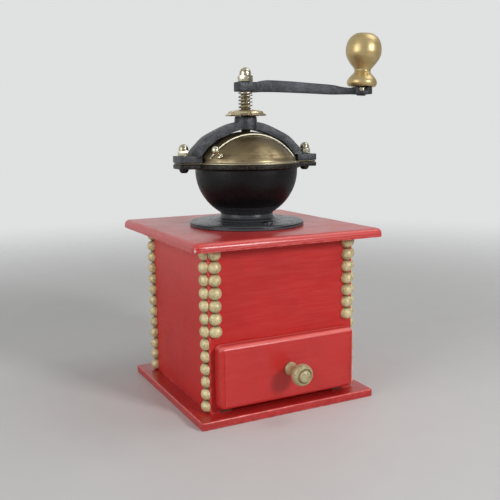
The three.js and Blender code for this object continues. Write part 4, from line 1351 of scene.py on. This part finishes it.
class GRINDER_OT_crank_arm(bpy.types.Operator):
    """Builds the cast crank arm with its hub and rolled eye, the bush and the cap nut"""

    bl_idname = "grinder.crank_arm"
    bl_label = "Crank Arm"
    bl_options = {"REGISTER", "UNDO"}

    def execute(self, context):
        colours = context.scene.grinder_colours
        where = Matrix.Rotation(CRANK_TURN, 4, "Z")
        reach, bottom, top, eye_top = ARM_REACH, ARM_BOTTOM, 248.9, EYE_TOP
        piece = self.strap(reach, bottom, eye_top)
        combine(piece, plate("hub", oblong(8, 5), bottom, top, 0.9, 3))
        boss = [(0, bottom - 0.4), (9.3, bottom - 0.4, 0.7), (9.3, eye_top, 1.0), (0, eye_top)]
        eye = turned("eye", eased(boss, 4), 64)
        drill(eye, 5.3, bottom - 3, top + 3, 48)
        mouth = plate("mouth", [(0, 0), *arc(0, 0, 13, 214, 268, 8)], bottom + 2.2, top + 3)
        combine(eye, mouth, "DIFFERENCE")
        combine(piece, place(eye, spot(reach, 0, 0)))
        combine(piece, plate("square", oblong(3.4, 3.4), bottom - 2, top + 4), "DIFFERENCE")
        place(piece, where)
        settle(piece, graphite_iron(), "crank_arm", smooth=40)

        brass = metal("Bush Brass", colours.plating, colours.brass, 0.22)
        low, high = span("knob_bush")
        bush = ring("bush", 3.4, 5.0, low.z, high.z, 0.3, 3)
        settle(place(bush, where @ spot(reach, 0, 0)), brass, "knob_bush")

        plating = metal("Nut Plating", colours.plating, colours.dome_stain_and_shade, 0.2, 0.8)
        foot = span("crank_cap_nut")[0].z
        nut = place(cap_nut("cap nut", 6.15, 5, 4.6, 11), where @ spot(0, 0, foot, math.radians(20)))
        settle(nut, plating, "crank_cap_nut", smooth=30)
        return {"FINISHED"}

    def strap(self, reach, bottom, eye_top):
        """The strap on edge between hub and eye: a section carried along, raised and swayed by steps."""
        edges = [(5, 248.8, 241.1), (9, 248.8, 241.0), (14, 249.9, 241.3), (20, 250.8, 241.5)]
        edges += [(30, 250.8, 241.6), (44, 250.4, 241.4), (63, 249.3, 240.9), (82, 248.2, 240.3)]
        edges += [(94, 246.6, 240.5)]
        edges = flowing([*edges, (reach - 7, eye_top - 0.9, bottom - 0.5)], 4)
        clear_selection()
        bpy.ops.mesh.primitive_plane_add(size=1, rotation=(0, math.pi / 2, 0))
        piece = bpy.context.object
        x, z, floor = edges[0]
        place(piece, spot(x, 0, (floor + z) / 2) @ Matrix.Diagonal((1, 5 * MM, (z - floor) * MM, 1)))
        edit(piece, "FACE")
        bpy.ops.mesh.select_all(action="SELECT")
        for here, there in zip(edges, edges[1:]):
            centres, heights = [], []
            for x_at, z_at, floor in (here, there):
                along_arm = (x_at - 8) / (reach - 8)
                sway = 2.0 * math.sin(2 * math.pi * along_arm) + 1.6 * max(along_arm, 0)
                centres.append(Vector((x_at, sway, (floor + z_at) / 2)))
                heights.append(z_at - floor)
            step = (centres[1] - centres[0]) * MM
            bpy.ops.mesh.extrude_region_move(TRANSFORM_OT_translate={"value": step})
            bpy.ops.transform.resize(value=(1, 1, heights[1] / heights[0]), center_override=centres[1] * MM)
        close()
        return soften(piece, 0.9, 3, 60)


class GRINDER_OT_crank_knob(bpy.types.Operator):
    """Builds the turned crank knob and the riveted pin on which it turns"""

    bl_idname = "grinder.crank_knob"
    bl_label = "Crank Knob"
    bl_options = {"REGISTER", "UNDO"}

    def execute(self, context):
        colours = context.scene.grinder_colours
        eye = Matrix.Rotation(CRANK_TURN, 4, "Z") @ spot(ARM_REACH, 0, (ARM_BOTTOM + EYE_TOP) / 2)
        lean = eye @ Matrix.Rotation(KNOB_LEAN, 4, "Y")
        lift, height, bore = 3.4, 44.2, 3.4
        skirt = flowing(
            [(11.5, 0.1), (12.5, 1.3), (12.95, 3.2), (12.3, 5.6)]
            + [(10.4, 8.3), (8.0, 10.8), (6.9, 12.3)],
            5,
        )
        ball = flowing(
            [(6.9, 13.3), (7.6, 15.2), (10.6, 18.8), (13.3, 22.8), (14.95, 26.8)]
            + [(15.3, 30.6), (14.9, 34.6), (13.5, 38.6), (11.0, 41.9), (7.6, height)],
            5,
        )
        outline = [(bore, 0), (11.0, 0), *skirt, (7.15, 12.8), *ball, (5.6, height), (5.4, height - 0.3)]
        outline += [(5.4, height - 1.8), (bore, height - 1.8), (bore, 0)]
        knob = turned("knob", outline, 80)
        place(knob, lean @ spot(0, 0, lift))
        settle(knob, knob_gold(), "crank_knob", smooth=50)

        below = (ARM_BOTTOM - EYE_TOP) / 2 - 1.1
        top = lift + height
        pin = [(0, below - 0.5), (3.6, below - 0.5, 0.5), (4.4, below + 0.2, 0.3), (3, below + 0.2)]
        pin += [(3, top - 1.5), (5, top - 1.5), (4.8, top - 0.5, 0.4), (0, top)]
        pin = place(turned("pin", eased(pin, 4), 48), lean)
        settle(pin, metal("Pin Steel", colours.graphite, colours.enamel, 0.3), "knob_pin")
        return {"FINISHED"}


class GRINDER_OT_inner_mill(bpy.types.Operator):
    """Finishes the burrs, the lower bearing and their screws"""

    bl_idname = "grinder.inner_mill"
    bl_label = "Inner Mill"
    bl_options = {"REGISTER", "UNDO"}

    def execute(self, context):
        colours = context.scene.grinder_colours
        paint_nodes(metal("Burr Steel", colours.burr, colours.graphite, 0.42), "outer_burr", "inner_burr")
        steel = metal("Fitting Steel", colours.steel, colours.graphite, 0.32)
        paint_nodes(steel, "burr_nut", "bearing_screw_left", "bearing_screw_right")
        paint_nodes(graphite_iron(), "lower_bearing_bar")
        return {"FINISHED"}


class GRINDER_OT_studio(bpy.types.Operator):
    """Sets up the pale floor, the soft lamps, the surroundings and the camera"""

    bl_idname = "grinder.studio"
    bl_label = "Studio"
    bl_options = {"REGISTER", "UNDO"}

    def execute(self, context):
        colours = context.scene.grinder_colours
        self.floor(colours)
        self.world(context.scene, colours)
        self.lamp("Key Lamp", Vector((0.4, -1.0, 0.52)), 0.24, 6.9)
        self.lamp("Fill Lamp", Vector((-1.1, -0.25, 0.5)), 0.7, 5.6)
        self.lamp("Top Lamp", Vector((0.55, -0.15, 1.0)), 0.5, 2.2)
        self.camera(context.scene)
        context.scene.view_settings.view_transform = "Standard"
        return {"FINISHED"}

    def floor(self, colours):
        """A pale floor whose far edge fades into the surroundings."""
        clear_selection()
        bpy.ops.mesh.primitive_circle_add(vertices=96, radius=3.0, fill_type="NGON")
        floor = bpy.context.object
        floor.name = "floor"
        finish = Finish("Pale Floor")
        away = finish.rise(finish.radius(), 0.3, 1.2)
        grain = finish.noise(30, detail=3)
        tone = finish.mix(grain * 0.25, screen(colours.floor), screen(colours.backdrop))
        solid = finish.node("BsdfPrincipled", {}, {"Base Color": tone, "Roughness": 0.55})
        clear = finish.node("BsdfTransparent")
        finish.node_output(finish.node("MixShader", {}, {0: away, 1: solid, 2: clear}))
        floor.data.materials.append(finish.material)

    def world(self, scene, colours):
        """Even light on the object; reflections see the wall dimmer in front, overhead and at the right."""
        studio = Finish("Studio", bpy.data.worlds)
        scene.world = studio.material
        seen = studio.node("LightPath", output="Is Camera Ray")
        mirrored = studio.node("LightPath", output="Is Glossy Ray")
        mirrored = mirrored.maths("MAXIMUM", studio.node("LightPath", output="Is Transmission Ray"))
        x, y, z = studio.axes()
        front = studio.fall(y, -0.95, 0.1) * 0.4
        overhead = studio.rise(z, 0.2, 1.0) * 0.15
        right = studio.rise(x, 0.5, 0.95) * 0.5
        even = (1 - mirrored) * (1 - seen) * 0.34
        strength = (mirrored * (1 - front - overhead - right)).maths("MAXIMUM", seen)
        strength = strength.maths("MAXIMUM", even)
        light = studio.node("Background", {}, {"Color": screen(colours.backdrop), "Strength": strength})
        studio.node_output(light, "World")

    def lamp(self, name, where, size, energy):
        """A square soft lamp that faces the grinder."""
        clear_selection()
        bpy.ops.object.light_add(type="AREA", location=where)
        lamp = bpy.context.object
        lamp.name = name
        lamp.data.size = size
        lamp.data.energy = energy
        lamp.visible_camera = False
        lamp.rotation_euler = (where - CAMERA_TARGET).to_track_quat("Z", "Y").to_euler()

    def camera(self, scene):
        """The camera of the photographed view."""
        a, e, r = CAMERA_AZIMUTH, CAMERA_ELEVATION, CAMERA_ROLL
        back = Vector((math.sin(a) * math.cos(e), -math.cos(a) * math.cos(e), math.sin(e)))
        level = Vector((math.cos(a), math.sin(a), 0))
        upright = back.cross(level)
        right = level * math.cos(r) + upright * math.sin(r)
        up = upright * math.cos(r) - level * math.sin(r)
        clear_selection()
        bpy.ops.object.camera_add()
        camera = bpy.context.object
        turn = Matrix((right, up, back)).transposed().to_4x4()
        camera.matrix_world = Matrix.Translation(CAMERA_TARGET + back * CAMERA_DISTANCE) @ turn
        camera.data.lens = CAMERA_LENS
        camera.data.sensor_width = 36
        camera.data.clip_start = 0.01
        scene.camera = camera


OPERATORS = (
    GRINDER_OT_wooden_box,
    GRINDER_OT_bead_strings,
    GRINDER_OT_drawer,
    GRINDER_OT_hopper,
    GRINDER_OT_dome_cover,
    GRINDER_OT_bridge,
    GRINDER_OT_ear_bolts,
    GRINDER_OT_flange_screws,
    GRINDER_OT_adjusting_wheel,
    GRINDER_OT_shaft,
    GRINDER_OT_crank_arm,
    GRINDER_OT_crank_knob,
    GRINDER_OT_inner_mill,
    GRINDER_OT_studio,
)


class GRINDER_PT_pieces(bpy.types.Panel):
    """Lists the grinder's sizes, colours and makers"""

    bl_label = "Coffee Grinder"
    bl_idname = "GRINDER_PT_pieces"
    bl_space_type = "VIEW_3D"
    bl_region_type = "UI"
    bl_category = "Grinder"

    def draw(self, context):
        for group in (context.scene.grinder_sizes, context.scene.grinder_colours):
            column = self.layout.column(align=True)
            for name in group.__annotations__:
                column.prop(group, name)
        for operator in OPERATORS:
            self.layout.operator(operator.bl_idname)


CLASSES = (GrinderSizes, GrinderColours, *OPERATORS, GRINDER_PT_pieces)


def register():
    for cls in CLASSES:
        bpy.utils.register_class(cls)
    bpy.types.Scene.grinder_sizes = bpy.props.PointerProperty(type=GrinderSizes)
    bpy.types.Scene.grinder_colours = bpy.props.PointerProperty(type=GrinderColours)


def unregister():
    del bpy.types.Scene.grinder_colours
    del bpy.types.Scene.grinder_sizes
    for cls in reversed(CLASSES):
        bpy.utils.unregister_class(cls)


def main():
    """Makes every piece."""
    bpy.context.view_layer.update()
    register()
    for operator in OPERATORS:
        group, name = operator.bl_idname.split(".")
        getattr(getattr(bpy.ops, group), name)()


if __name__ == "__main__":
    main()
